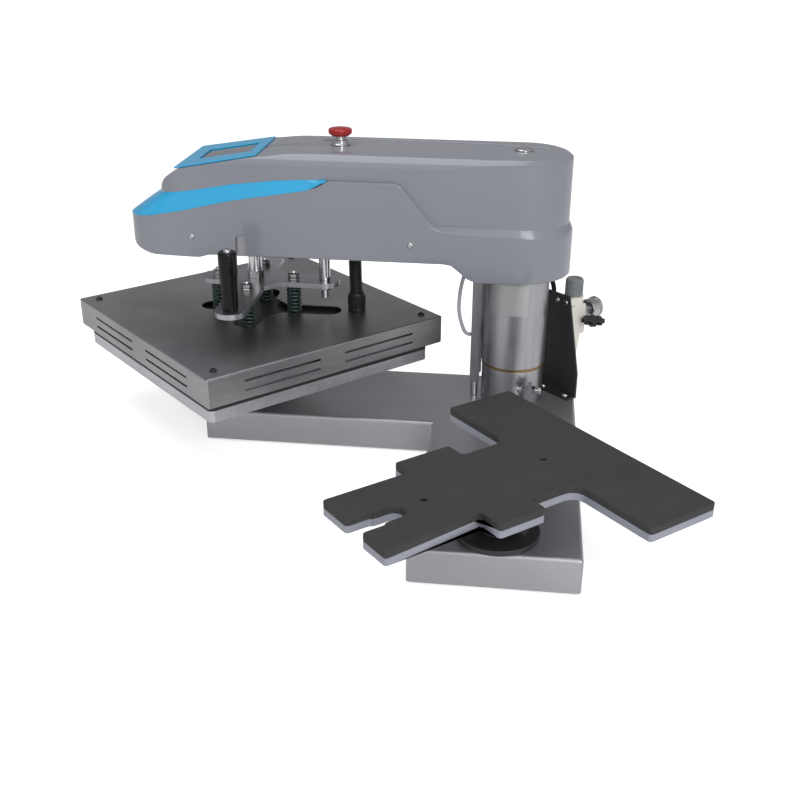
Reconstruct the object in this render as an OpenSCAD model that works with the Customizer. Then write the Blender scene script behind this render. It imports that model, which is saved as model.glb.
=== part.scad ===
// Pneumatic swing-away heat press with two stations.
// Z is up and the floor is z = 0. The swing column stands on the Z axis.
// The left station lies along the left reach, the front station a quarter turn further on.

/* [Base] */
// Height of the folded base above the floor
base_h = 53; // [45:1:60]
// Thickness of the base sheet
base_wall = 4; // [3:0.5:5]
// Length of each base arm from the column axis
base_reach = 484; // [450:1:520]
// Inner edge of both base arms, measured from the column axis
base_inner = 119; // [105:1:130]

/* [Column] */
// Outer radius of the turning tube
tube_r = 51; // [48:0.5:56]
// Radius of the fixed spindle inside it
spindle_r = 30; // [26:1:34]
// Height of the thrust ring's lower face
ring_z = 115; // [108:1:122]

/* [Stations] */
// Distance from the column axis to the head's centre
reach = 420; // [410:1:430]
// Side of the square platens
platen_w = 400; // [380:1:410]
// Height of the pads' upper faces
pad_top = 141.7; // [135:0.1:150]
// Thickness of each pad
pad_t = 8; // [5:0.5:10]
// Angle by which the shoe platen stands turned on its post
shoe_turn = -4; // [-10:0.5:10]

/* [Head] */
// Length of the heated head's cover along X
cover_x = 430; // [420:1:440]
// Width of the cover along Y
cover_y = 428; // [420:1:440]
// Height of the cover
cover_h = 45.5; // [40:0.5:52]
// Upper face of the cross plate that carries the head
cross_z = 240; // [236:1:246]
// Thickness of the cross plate
cross_t = 8; // [6:1:10]
// Stroke of the press cylinder
stroke = 50; // [40:1:55]

/* [Arm] */
// Half width of the lower skirt
skirt_w = 88; // [84:1:92]
// Half width of the upper cover
upper_w = 80; // [76:1:82]
// Lower edge of the skirt along the arm
arm_z = 301; // [298:1:306]
// Height of the cover's flat top
arm_top = 457; // [450:1:462]
// Sheet thickness of both shells
shell_t = 3; // [2:0.5:4]

/* [Hidden] */
$fn = 64;

// Running clearance of a shaft in its bore
run_gap = 0.05;
// Free clearance round a part that only passes through
pass_gap = 0.6;

// Head centre, on the diagonal of the row axes
head_xy = -reach / sqrt(2);
cover_z = pad_top + 0.3;
cover_top = cover_z + cover_h;
cover_wall = 2;
heat_z = cover_z;
heat_t = 22;
mat_z = heat_z + heat_t;
mat_t = 3;
wool_t = 8;
frame_z = mat_z + mat_t + wool_t;
frame_t = 4;
frame_top = frame_z + frame_t;
post_inset = 24;

// Station posts: plan places of the two lower platens
left_xy = [-290, -305];
front_xy = [303, -311];
platen_t = 18;
platen_z = pad_top - pad_t - platen_t;
shoe_t = 10;
shoe_pad_t = 10;
shoe_z = pad_top - shoe_pad_t - shoe_t;
shoe_hole_y = [71, -118];

// Adjusting screw that ends the swing at the front station, and its bar
stop_l = -27;
stop_f = 61;
stop_z = 92;

// Head cover: ventilation slots and the conduit's gland
vent_len = 132;
vent_h = 3.4;
gland_lf = [reach - 163, -10];

// Spring bolts stand on a circle round the press rod
bolt_pcd_r = 62;
rod_r = 11;
guide_r = 9;
guide_l = reach - 113;
grip_f = 160;

// Base outline in the arm's own axes: l along the left reach, f towards the front station
base_back_l = -104;
base_back_f = -80;
foot_h = 3;

// Arm structure
beam_z = 312;
beam_h = 60;
beam_w = 52;
beam_t = 6;
cyl_r = 42;
cyl_h = 92;
piston_h = 12;
skirt_rear_r = 81;
upper_rear_r = 75;
skirt_nose = 602;
upper_nose = 549;
display_tilt = atan2(20, 118);

// Regulator group
reg_xy = [28.5, 102.5];
plate_y = 76;
reg_front = 12;
reg_side = 17;
tee_x = 30;
tee_z = 184;
gauge_y = reg_xy[1] + reg_front + 21;
bleed_xy = [66.5, 111];
bleed_z = 177;

// Air hose from the regulator's elbow to the underside of the arm
supply_route = [[-16, 102.5, 202], [-16, 102.5, 214], [-17, 98, 228], [-16, 89, 243],
  [-12, 80, 257], [-4, 74, 270], [3, 71, 282], [6, 70, 292]];
// Air hose of the index pin: out of the arm and back to the bar's port
lock_route = [[72, 8, 300], [74, 8, 288], [80, 9, 268], [86, 9, 246], [89, 9, 222],
  [89, 9, 200], [85, 7, 180], [80, 3, 165], [75, 1, 159], [67, 0, 158]];

module arm_axes() rotate([0, 0, 225]) children();
module at_head() translate([head_xy, head_xy, 0]) children();

// Round-ended slot cutter along X, cut through along Y
module slot_cutter(len, h, depth) {
  rotate([90, 0, 0]) {
    cube([len - h, h, depth], center = true);
    for (s = [-1, 1]) translate([s * (len - h) / 2, 0, 0])
      cylinder(h = depth, r = h / 2, center = true);
  }
}

// Cap screw with a low domed head, head up
module button_screw(r, head_r, head_h, len) {
  cylinder(h = len, r = r);
  translate([0, 0, len]) intersection() {
    cylinder(h = head_h, r = head_r);
    translate([0, 0, head_h - head_r * 1.3]) sphere(r = head_r * 1.3);
  }
}

// Hexagon nut
module hex_nut(across, h, bore) difference() {
  cylinder(h = h, r = across / sqrt(3), $fn = 6);
  translate([0, 0, -1]) cylinder(h = h + 2, r = bore);
}

// Knob with round lobes
module lobed_knob(r, h, lobes) {
  cylinder(h = h, r = r * 0.78);
  for (i = [0 : lobes - 1]) rotate([0, 0, i * 360 / lobes])
    translate([r * 0.76, 0, 0]) cylinder(h = h, r = r * 0.24);
}

// Tube swept along points, as rings of n sides joined by quads
function unit(v) = v / norm(v);
function along(p, i) = unit(p[min(i + 1, len(p) - 1)] - p[max(i - 1, 0)]);
function side_of(t) = unit(cross(t, abs(t[1]) < 0.9 ? [0, 1, 0] : [1, 0, 0]));
function ring_pts(c, t, r, n) = let(u = side_of(t), v = cross(t, u))
  [for (k = [0 : n - 1]) c + r * (cos(k * 360 / n) * u + sin(k * 360 / n) * v)];
function spline_at(p, i, t) = let(a = p[max(i - 1, 0)], b = p[i], c = p[i + 1],
  d = p[min(i + 2, len(p) - 1)])
  0.5 * ((2 * b) + (c - a) * t + (2 * a - 5 * b + 4 * c - d) * t * t
  + (3 * b - a - 3 * c + d) * t * t * t);
function smooth_path(p, k) = concat([for (i = [0 : len(p) - 2], j = [0 : k - 1])
  spline_at(p, i, j / k)], [p[len(p) - 1]]);
module swept_tube(p, r, n) {
  m = len(p);
  pts = [for (i = [0 : m - 1]) each ring_pts(p[i], along(p, i), r, n)];
  sides = [for (i = [0 : m - 2], k = [0 : n - 1])
    [i * n + k, i * n + (k + 1) % n, (i + 1) * n + (k + 1) % n, (i + 1) * n + k]];
  ends = [[for (k = [n - 1 : -1 : 0]) k], [for (k = [0 : n - 1]) (m - 1) * n + k]];
  polyhedron(points = pts, faces = concat(sides, ends));
}

// Plan of the arm: round rear about the column, flat sides, nose with round corners
function arc(cx, cy, r, a0, a1, n) = [for (i = [0 : n]) let(a = a0 + (a1 - a0) * i / n)
  [cx + r * cos(a), cy + r * sin(a)]];
function arm_plan(w, rear, nose, corner) = concat(
  arc(0, 0, rear, 90, 270, 16), [[110, -w]],
  arc(nose - corner, -w + corner, corner, -90, 0, 8),
  arc(nose - corner, w - corner, corner, 0, 90, 8), [[110, w]]);
module plan_prism(w, rear, nose, corner) translate([0, 0, 200])
  linear_extrude(height = 320) polygon(arm_plan(w, rear, nose, corner));
module side_prism(pts) rotate([90, 0, 0]) translate([0, 0, -150])
  linear_extrude(height = 300) polygon(pts);

// Side outlines of the arm's shells in (l, z)
skirt_edge = [[-100, 352], [127, 358], [179, 420], [286, 420], [300, 410], [345, 402],
  [430, 388], [515, 368], [620, 350]];
skirt_foot = [[620, 318], [588, 304], [560, arm_z - 3], [484, arm_z - 5], [469, arm_z],
  [101, arm_z], [67, 272.5], [-100, 272.5]];
upper_line = [[-100, 440], [-66, 452], [-40, arm_top], [335, arm_top], [392, 450],
  [510, 430], [535, 414], [549, 395], [560, 330]];

// ---- Base ----

module base_outline(inset) polygon([[base_back_l + inset, base_back_f + inset],
  [base_reach - inset, base_back_f + inset], [base_reach - inset, base_inner - inset],
  [base_inner - inset, base_inner - inset], [base_inner - inset, base_reach - inset],
  [base_back_l + inset, base_reach - inset]]);

module base_shell() color("slategray") difference() {
  arm_axes() difference() {
    translate([0, 0, foot_h]) linear_extrude(height = base_h - foot_h) base_outline(0);
    translate([0, 0, -1]) linear_extrude(height = base_h - base_wall + 1) base_outline(base_wall);
    // power inlet and switch openings in the rear wall of the left arm
    translate([300, base_back_f, 27]) cube([27.4, 20, 20.4], center = true);
    translate([340, base_back_f, 27]) cube([20.4, 20, 13.4], center = true);
  }
}

module rubber_feet() color("black") arm_axes()
  for (p = [[0, 0], [450, -46], [450, 85], [-70, 450], [85, 450], [-75, -50]])
    translate([p[0], p[1], 0]) cylinder(h = base_h - base_wall, r = 18);

module column_base_tube() color("lightgray") translate([0, 0, base_h]) difference() {
  cylinder(h = ring_z - base_h, r = tube_r - 1.5);
  translate([0, 0, -1]) cylinder(h = ring_z - base_h + 2, r = spindle_r);
}

module column_spindle() color("silver") translate([0, 0, base_h])
  cylinder(h = 436 - base_h, r = spindle_r);

module thrust_ring() color("goldenrod") translate([0, 0, ring_z]) difference() {
  cylinder(h = 4.6, r = tube_r - 0.8);
  translate([0, 0, -1]) cylinder(h = 7, r = spindle_r + pass_gap);
}

module left_post() color("dimgray") translate([left_xy[0], left_xy[1], 0]) {
  translate([0, 0, base_h]) cylinder(h = 8, r = 60);
  translate([0, 0, base_h + 8]) cylinder(h = platen_z - base_h - 16, r = 30);
  translate([0, 0, platen_z - 4]) cube([170, 170, 8], center = true);
}

module left_platen() color("silver") translate([left_xy[0], left_xy[1], platen_z])
  translate([-platen_w / 2, -platen_w / 2, 0]) cube([platen_w, platen_w, platen_t]);

module left_pad() color("black") translate([left_xy[0], left_xy[1], pad_top - pad_t])
  translate([-platen_w / 2, -platen_w / 2, 0]) cube([platen_w, platen_w, pad_t]);

module front_post() color("dimgray") translate([front_xy[0], front_xy[1], base_h]) {
  cylinder(h = 8, r = 55);
  translate([0, 0, 8]) cylinder(h = shoe_z - base_h - 12, r = 22);
}

module stop_post() color("silver") arm_axes() difference() {
  translate([stop_l - 5, stop_f - 7, base_h]) cube([10, 14, 50]);
  translate([stop_l, stop_f, stop_z]) rotate([0, 90, 0]) cylinder(h = 30, r = 4, center = true);
}

module stop_screws() color("gainsboro") arm_axes() translate([stop_l, stop_f, stop_z])
  rotate([0, 90, 0]) {
    translate([0, 0, -16]) cylinder(h = 33.5, r = 4);
    translate([0, 0, -20]) cylinder(h = 4, r = 6.5);
    translate([0, 0, -11]) hex_nut(13, 6, 4);
    translate([0, 0, 5]) hex_nut(13, 6, 4);
  }

module bracket_outline() polygon([[-20, base_h + 3], [72, base_h + 3], [72, 96], [44, 221],
  [-8, 221]]);
module regulator_bracket() color("dimgray") {
  difference() {
    translate([0, plate_y + 3, 0]) rotate([90, 0, 0]) linear_extrude(height = 3) bracket_outline();
    for (x = [-9, 9]) translate([reg_xy[0] + x, plate_y, 210]) rotate([90, 0, 0])
      cylinder(h = 20, r = 2, center = true);
  }
  difference() {
    translate([-20, 58, base_h]) cube([92, 21, 3]);
    for (x = [8, 58]) translate([x, 67, base_h - 1]) cylinder(h = 6, r = 3);
  }
}

// Screws of the bracket's foot and of the regulator
module base_screws() color("silver") {
  for (x = [8, 58]) translate([x, 67, base_h]) button_screw(3, 5.5, 3.5, 3);
  for (x = [-9, 9]) translate([reg_xy[0] + x, plate_y + 3, 210]) rotate([90, 0, 0])
    button_screw(2, 3.8, 2.4, 3);
}

module regulator_body() color("ivory") translate([reg_xy[0], reg_xy[1], 0]) difference() {
  union() {
    translate([-reg_side, -21, 152]) cube([2 * reg_side, reg_front + 21, 50]);
    translate([0, 0, 202]) cylinder(h = 13, r = 16);
    translate([-14, -23.5, 203]) cube([28, 10, 12]);
  }
  translate([0, 0, 200]) cylinder(h = 30, r = 6 + pass_gap);
  for (z = [160, 185]) translate([-27, 0, z]) rotate([0, 90, 0])
    cylinder(h = 30, r = 5, center = true);
  for (x = [-9, 9]) translate([x, -20, 210]) rotate([90, 0, 0])
    cylinder(h = 20, r = 2, center = true);
}

module regulator_bowl() color("ivory") translate([reg_xy[0], reg_xy[1], 0]) {
  translate([0, 0, 112]) cylinder(h = 40, r1 = 11, r2 = 15);
  translate([0, 0, 104]) cylinder(h = 8, r = 5);
}

module regulator_cap() color("darkgray") translate([reg_xy[0], reg_xy[1], 0]) difference() {
  union() {
    translate([0, 0, 215.4]) cylinder(h = 28, r = 13.6);
    translate([0, 0, 202]) cylinder(h = 14, r = 6);
    for (i = [0 : 23]) rotate([0, 0, i * 15]) translate([13.3, 0, 216])
      cylinder(h = 26, r = 0.9, $fn = 16);
  }
  translate([0, 0, 241.9]) cylinder(h = 3, r = 9.5);
}

// Tee that holds the gauge, and the bleed valve's arm on the body's right side
module gauge_tee() color("silver") {
  translate([tee_x - 8, reg_xy[1] + reg_front, tee_z - 9]) cube([16, 16, 18]);
  translate([tee_x, gauge_y - 5, tee_z]) rotate([-90, 0, 0]) cylinder(h = 5, r = 6);
  difference() {
    union() {
      translate([reg_xy[0] + reg_side, bleed_xy[1], bleed_z - 3.5]) rotate([0, 90, 0])
        cylinder(h = bleed_xy[0] - reg_xy[0] - reg_side, r = 2.4);
      translate([bleed_xy[0], bleed_xy[1], bleed_z - 6.5]) cylinder(h = 6, r = 6.5);
    }
    translate([bleed_xy[0], bleed_xy[1], bleed_z - 5]) cylinder(h = 14, r = 3 + run_gap);
  }
}

module at_gauge() translate([tee_x, gauge_y, tee_z]) rotate([-90, 0, 0]) children();
module gauge_case() color("silver") at_gauge() difference() {
  union() {
    cylinder(h = 20, r = 16);
    translate([0, 0, 16]) cylinder(h = 5, r = 17.5);
  }
  translate([0, 0, 14]) cylinder(h = 10, r = 15);
}

module gauge_needle() color("black") at_gauge() translate([0, 0, 15]) {
  cylinder(h = 1.5, r = 2);
  rotate([0, 0, 45]) translate([-4, -0.6, 0.5]) cube([15, 1.2, 0.8]);
}

module bleed_knob() color("black") translate([bleed_xy[0], bleed_xy[1], bleed_z]) {
  lobed_knob(19, 6, 8);
  translate([0, 0, -4.5]) cylinder(h = 5, r = 3);
}

// Push-in tube fittings on the hidden side: supply inlet below, outlet elbow above
module push_fittings() color("dimgray") translate([reg_xy[0], reg_xy[1], 0]) {
  difference() {
    union() {
      translate([-22, 0, 160]) rotate([0, 90, 0]) cylinder(h = 10, r = 5);
      translate([-36, 0, 160]) rotate([0, 90, 0]) cylinder(h = 19, r = 7.5);
    }
    translate([-40, 0, 160]) rotate([0, 90, 0]) cylinder(h = 20, r = 4.05);
  }
  translate([-40, 0, 185]) rotate([0, 90, 0]) cylinder(h = 28, r = 5);
  translate([-51.5, -7, 178]) cube([14, 14, 14]);
  translate([-44.5, 0, 192]) cylinder(h = 10, r = 7);
}

module supply_hose() color("black") swept_tube(smooth_path(supply_route, 2), 4, 10);

module power_inlet() color("black") arm_axes() difference() {
  union() {
    translate([300, base_back_f + 6, 27]) cube([27, 20, 20], center = true);
    translate([300, base_back_f - 1.25, 27]) cube([31, 2.5, 24], center = true);
  }
  translate([300, base_back_f - 1, 27]) cube([23, 24, 15], center = true);
}

module power_rocker() color("red") arm_axes() translate([340, base_back_f + 3.5, 27])
  intersection() {
    rotate([90, 0, 90]) cylinder(h = 19.6, r = 8, center = true);
    translate([0, -4.4, 0]) cube([19.6, 9, 11], center = true);
  }

// ---- Shoe station ----

module at_front() translate([front_xy[0], front_xy[1], 0]) rotate([0, 0, shoe_turn]) children();

// Web that rounds an inside corner, into the quarter given by the two signs
module corner_web(p, sx, sy, r) translate(p) scale([sx, sy]) difference() {
  translate([-1, -1]) square(r + 1);
  translate([r, r]) circle(r = r);
}

// Outline of the shoe platen: wide bar at the rear, broad stem with two lobes, notched end
module shoe_outline() {
  translate([-192, 62]) square([392, 110]);
  corner_web([-67, 62], -1, -1, 18);
  corner_web([72, 62], 1, -1, 18);
  translate([-98, -95]) square([98, 87]);
  translate([0, -78]) square([97, 70]);
  difference() {
    polygon([[-67, -221], [72, -221], [61, -79], [61, -20], [72, 0], [72, 80], [-67, 80]]);
    translate([-11, -230]) square([33, 44]);
    translate([-8, -190]) square([26, 27]);
    translate([5, -164]) circle(r = 13);
  }
}

module shoe_platen() color("lightsteelblue") at_front() difference() {
  translate([0, 0, shoe_z]) linear_extrude(height = shoe_t) shoe_outline();
  for (y = shoe_hole_y) translate([0, y, shoe_z - 1]) cylinder(h = shoe_t + 2, r = 3);
}

module shoe_pad() color("dimgray") at_front() difference() {
  translate([0, 0, shoe_z + shoe_t]) linear_extrude(height = shoe_pad_t) shoe_outline();
  for (y = shoe_hole_y) translate([0, y, shoe_z]) cylinder(h = shoe_t + shoe_pad_t + 2, r = 4.2);
}

module shoe_screws() color("silver") at_front() for (y = shoe_hole_y)
  translate([0, y, shoe_z - 4]) {
    cylinder(h = 4 + shoe_t, r = 3);
    translate([0, 0, 4 + shoe_t]) cylinder(h = 2.5, r = 3.9);
  }

// Carrier under the shoe platen: a bar with a socket that turns on the post
module shoe_socket() color("dimgray") at_front() difference() {
  union() {
    translate([-25, -135, shoe_z - 6]) cube([50, 225, 6]);
    translate([0, 0, base_h + 14]) cylinder(h = shoe_z - 6 - base_h - 14, r = 30);
    translate([24, -9, 86]) cube([14, 18, 18]);
  }
  translate([0, 0, base_h]) cylinder(h = shoe_z - 3.5 - base_h, r = 22 + run_gap);
  translate([20, 0, 95]) rotate([0, 90, 0]) cylinder(h = 30, r = 5);
  for (y = shoe_hole_y) translate([0, y, shoe_z - 8]) cylinder(h = 10, r = 3);
}

module platen_knob() color("black") at_front() translate([0, 0, 95]) rotate([0, 90, 0]) {
  translate([0, 0, 23]) cylinder(h = 20, r = 4.95);
  translate([0, 0, 39]) lobed_knob(17, 14, 6);
}

// ---- Swinging column and arm ----

module column_tube() color("silver") difference() {
  translate([0, 0, ring_z + 4.9]) cylinder(h = 430 - ring_z - 4.9, r = tube_r);
  cylinder(h = 500, r = tube_r - 5);
}

// Two plain bearings on the spindle and one flanged guide bush
module bronze_bushings() color("darkgoldenrod") {
  for (z = [ring_z + 8, 396]) translate([0, 0, z]) difference() {
    cylinder(h = 30, r = tube_r - 5);
    translate([0, 0, -1]) cylinder(h = 32, r = spindle_r + run_gap);
  }
  arm_axes() translate([guide_l, 0, 0]) difference() {
    union() {
      translate([0, 0, beam_z - 4]) cylinder(h = 4, r = 18);
      translate([0, 0, beam_z]) cylinder(h = 34, r = 14);
    }
    translate([0, 0, beam_z - 5]) cylinder(h = 50, r = guide_r + run_gap);
  }
}

// Square housing of the index pin, welded to the tube by a narrow web
module index_bar() color("darkgray") arm_axes() difference() {
  union() {
    translate([tube_r + 2.5, -8.5, 78]) cube([15, 17, 222]);
    translate([tube_r - 3, -5, 94]) cube([7, 10, 204]);
  }
  translate([0, 0, 70]) cylinder(h = 240, r = tube_r);
  translate([tube_r + 10, 0, 70]) cylinder(h = 60, r = 6 + run_gap);
  translate([tube_r + 18.5, 0, 158]) rotate([0, 90, 0]) cylinder(h = 10, r = 3.3, center = true);
}

module index_pin() color("gainsboro") arm_axes() translate([tube_r + 10, 0, 0]) {
  translate([0, 0, base_h + 0.5]) cylinder(h = 62, r = 6);
}

module arm_beam() color("gray") arm_axes() difference() {
  translate([-20, -beam_w, beam_z]) cube([560, 2 * beam_w, beam_h]);
  translate([-21, -beam_w + beam_t, beam_z + beam_t])
    cube([555, 2 * (beam_w - beam_t), beam_h - 2 * beam_t]);
  translate([0, 0, 300]) cylinder(h = 100, r = tube_r);
  translate([-60, -60, 300]) cube([60, 120, 100]);
  translate([reach, 0, 300]) cylinder(h = 12 + beam_t, r = rod_r + 2);
  translate([reach, 0, beam_z + beam_t]) cylinder(h = 100, r = cyl_r);
  translate([guide_l, 0, 300]) cylinder(h = 40, r = 14);
  translate([guide_l, 0, 340]) cylinder(h = 100, r = guide_r + 2);
  translate([gland_lf[0], gland_lf[1], 300]) cylinder(h = 30, r = 12);
}

module press_cylinder() color("lightgray") arm_axes() translate([reach, 0, beam_z + beam_t])
  difference() {
    cylinder(h = cyl_h, r = cyl_r);
    translate([0, 0, 12]) cylinder(h = cyl_h - 20, r = cyl_r - 5);
    translate([0, 0, -1]) cylinder(h = 20, r = rod_r + run_gap);
  }

module skirt_solid(inset) intersection() {
  plan_prism(skirt_w - inset, skirt_rear_r - inset, skirt_nose - inset, 58 - inset);
  side_prism(concat([for (p = skirt_edge) p - [0, inset]], [for (p = skirt_foot)
    inset > 0 ? [p[0], 230] : p]));
}

module arm_skirt() color("slategray") arm_axes() difference() {
  skirt_solid(0);
  skirt_solid(shell_t);
  plan_prism(upper_w - 6, upper_rear_r - 6, upper_nose - 6, 36);
  // round-topped cut-out in the near side
  translate([reach - 2, skirt_w, arm_z + 24]) rotate([90, 0, 0])
    cylinder(h = 12, r = 9.5, center = true);
  translate([reach - 11.5, skirt_w - 6, arm_z - 10]) cube([19, 12, 34]);
  for (l = [494, 160], s = [-1, 1]) translate([l, s * skirt_w, arm_z + 28]) rotate([90, 0, 0])
    cylinder(h = 20, r = 2, center = true);
}

// Lower line of the upper cover: it stands on the skirt's shelf
module upper_solid(inset, drop) intersection() {
  plan_prism(upper_w - inset, upper_rear_r - inset, upper_nose - inset, 38 - inset);
  side_prism(concat([for (p = upper_line) p - [0, inset]],
    [for (i = [len(skirt_edge) - 1 : -1 : 0]) skirt_edge[i] - [0, drop]]));
  rotate([90, 0, 90]) translate([0, 0, -120]) linear_extrude(height = 760)
    polygon([[-upper_w - 4 + inset, 300], [-upper_w + 1 + inset, 440 - inset],
      [-66 + inset, 456 - inset], [-40, arm_top - inset], [40, arm_top - inset],
      [66 - inset, 456 - inset], [upper_w - 1 - inset, 440 - inset], [upper_w + 4 - inset, 300]]);
}

module arm_top_cover() color("slategray") arm_axes() difference() {
  upper_solid(0, 0);
  upper_solid(shell_t, 40);
  translate([reach - 142, 0, 440]) cylinder(h = 40, r = 11.2);
  translate([0, 0, 440]) cylinder(h = 40, r = 10.2);
  display_cut(34.6, 82.6);
}

// Sloping display plane: rises from the nose towards the column
module on_display() translate([451, 0, 440.2]) rotate([0, display_tilt, 0]) children();
module display_cut(w, len) on_display() translate([-len / 2, -w, -12]) cube([len, 2 * w, 20]);

module display_bezel() color("deepskyblue") arm_axes() intersection() {
  on_display() difference() {
    linear_extrude(height = 2.4) polygon([[-58, -68], [67, -77.7], [67, 77.7], [-58, 68]]);
    translate([-41, -34.3, -2]) cube([82, 68.6, 10]);
  }
  plan_prism(upper_w, upper_rear_r, upper_nose, 38);
}

module display_screen() color("gray") arm_axes() on_display()
  translate([-40.8, -34, -9]) cube([81.6, 68, 9.4]);

module control_board() color("darkgreen") arm_axes() translate([330, -40, beam_z + beam_h + 4]) {
  cube([44, 80, 2]);
  translate([6, 10, 2]) cube([18, 24, 14]);
  translate([28, 44, 2]) cube([12, 26, 20]);
  for (x = [3, 41], y = [3, 77]) translate([x, y, -4]) cylinder(h = 4, r = 2.5);
}

// Coloured strip that lies on the skirt's shelf and runs round the nose
module side_trim() color("deepskyblue") arm_axes() difference() {
  intersection() {
    plan_prism(skirt_w, skirt_rear_r, skirt_nose, 58);
    side_prism([[290, 424], [296, 413], [300, 410], [345, 402], [430, 388], [515, 368],
      [620, 350], [620, 364], [549, 390], [515, 397], [430, 409], [345, 419]]);
  }
  plan_prism(upper_w, upper_rear_r, upper_nose, 38);
  // bevel of the strip, from its inner to its outer edge
  for (s = [-1, 1]) scale([1, s, 1]) rotate([90, 0, 90]) translate([0, 0, 280])
    linear_extrude(height = 400) polygon([[skirt_w + 1, 421], [upper_w, 440], [120, 440]]);
}

module estop_collar() color("silver") arm_axes() translate([reach - 142, 0, arm_top])
  difference() {
    union() {
      cylinder(h = 3, r = 15);
      translate([0, 0, 3]) cylinder(h = 5, r = 12);
      translate([0, 0, -24]) cylinder(h = 24, r = 11);
    }
    translate([0, 0, -16]) cylinder(h = 40, r = 7 + run_gap);
  }

module estop_button() color("red") arm_axes() translate([reach - 142, 0, arm_top]) {
  translate([0, 0, -10]) cylinder(h = 24, r = 7);
  translate([0, 0, 13]) cylinder(h = 4, r1 = 13, r2 = 18);
  translate([0, 0, 17]) cylinder(h = 6, r = 18);
  translate([0, 0, 23]) cylinder(h = 3, r1 = 18, r2 = 14);
}

// Screws in the skirt's sides and the plug over the column
module cover_screws() color("silver") arm_axes() {
  for (l = [494, 160], s = [-1, 1]) translate([l, s * (skirt_w - 6), arm_z + 28])
    rotate([-90 * s, 0, 0]) button_screw(2, 4.4, 2.6, 6);
  translate([0, 0, arm_top]) cylinder(h = 2.6, r = 14.5);
  translate([0, 0, arm_top - 12]) cylinder(h = 12, r = 10);
}

// Blank plate bent round the tube
module rating_plate() color("lightgray") arm_axes() difference() {
  translate([0, 0, 210.5]) intersection() {
    cylinder(h = 50, r = tube_r + 1);
    rotate([0, 0, 76]) linear_extrude(height = 50)
      polygon([[0, 0], [80, -58], [80, 58]]);
  }
  cylinder(h = 500, r = tube_r);
}

module lock_hose() color("lightgray") arm_axes()
  swept_tube(smooth_path(lock_route, 2), 3, 8);

module head_conduit() color("black") arm_axes() translate([gland_lf[0], gland_lf[1], 0])
  translate([0, 0, cover_top + 26]) cylinder(h = 335 - cover_top - 26, r = 9.8);

// ---- Pressing group ----

module cross_outline(w, left, right, front, back, fillet) {
  translate([-right, -w]) square([right + left, 2 * w]);
  translate([-w, -back]) square([2 * w, back + front]);
  polygon([[-w - fillet, -w], [-w, -w - fillet], [w, -w - fillet], [w + fillet, -w],
    [w + fillet, w], [w, w + fillet], [-w, w + fillet], [-w - fillet, w]]);
  for (p = [[-right, 0], [left, 0], [0, front], [0, -back]]) translate(p) circle(r = w);
}

module spider_plate() color("gainsboro") arm_axes() translate([reach, 0, cross_z - cross_t])
  difference() {
    linear_extrude(height = cross_t) cross_outline(24, 66, 113, grip_f, 100, 22);
    for (a = [0 : 90 : 270]) rotate([0, 0, a]) translate([bolt_pcd_r, 0, -1])
      cylinder(h = cross_t + 2, r = 5.3);
    translate([0, 0, -1]) cylinder(h = cross_t + 2, r = 8);
    translate([guide_l - reach, 0, -1]) cylinder(h = cross_t + 2, r = 6);
    translate([0, grip_f, -1]) cylinder(h = cross_t + 2, r = 4);
  }

module piston_rod() color("gainsboro") arm_axes() translate([reach, 0, 0]) {
  translate([0, 0, cross_z]) cylinder(h = beam_z + beam_t + 14 - cross_z, r = rod_r);
  translate([0, 0, beam_z + beam_t + 14]) cylinder(h = piston_h, r = cyl_r - 5 - run_gap);
  translate([0, 0, cross_z - cross_t - 14]) cylinder(h = cross_t + 14, r = 8);
  translate([0, 0, cross_z - cross_t - 20]) cylinder(h = 6, r = 9.5);
  translate([0, 0, cross_z]) cylinder(h = 12, r = 24 / sqrt(3), $fn = 6);
}

module guide_rod() color("gainsboro") arm_axes() translate([guide_l, 0, 0]) {
  translate([0, 0, cross_z]) cylinder(h = 385 - cross_z, r = guide_r);
  translate([0, 0, cross_z - cross_t - 22]) cylinder(h = cross_t + 22, r = 6);
  translate([0, 0, cross_z - cross_t - 8]) hex_nut(18, 8, 6);
}

module handle_grip() color("black") arm_axes() translate([reach, grip_f, 0]) {
  translate([0, 0, cross_z]) rotate_extrude() polygon([[0, 0], [11.5, 0], [12, 2], [12.5, 40],
    [14, 60], [14, 86], [12, 90], [0, 90]]);
  translate([0, 0, cross_z + 90]) cylinder(h = 4, r = 6);
  translate([0, 0, cross_z - cross_t - 5]) cylinder(h = cross_t + 5, r = 4);
}

// Compression springs, each as the tube that its coils fill
module press_springs() color("darkslategray") arm_axes() translate([reach, 0, frame_top])
  for (a = [0 : 90 : 270]) rotate([0, 0, a]) translate([bolt_pcd_r, 0, 0.2]) difference() {
    cylinder(h = cross_z - cross_t - frame_top - 0.4, r = 12);
    translate([0, 0, -1]) cylinder(h = 70, r = 8);
  }

// ---- Heated head ----

module heat_platen() color("silver") at_head() translate([0, 0, heat_z + heat_t / 2])
  cube([platen_w, platen_w, heat_t], center = true);

module heater_mat() color("peru") at_head() translate([0, 0, mat_z + mat_t / 2])
  cube([352, 352, mat_t], center = true);

module insulation() color("white") at_head() translate([0, 0, mat_z + mat_t + wool_t / 2])
  cube([352, 352, wool_t], center = true);

module head_frame() color("gray") at_head() {
  post_x = cover_x / 2 - post_inset;
  post_y = cover_y / 2 - post_inset;
  translate([0, 0, frame_z + frame_t / 2])
    cube([2 * post_x - 10, 2 * post_y - 10, frame_t], center = true);
  for (x = [-post_x, post_x], y = [-post_y, post_y]) translate([x, y, mat_z])
    cylinder(h = cover_top - cover_wall - mat_z, r = 8);
}

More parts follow.
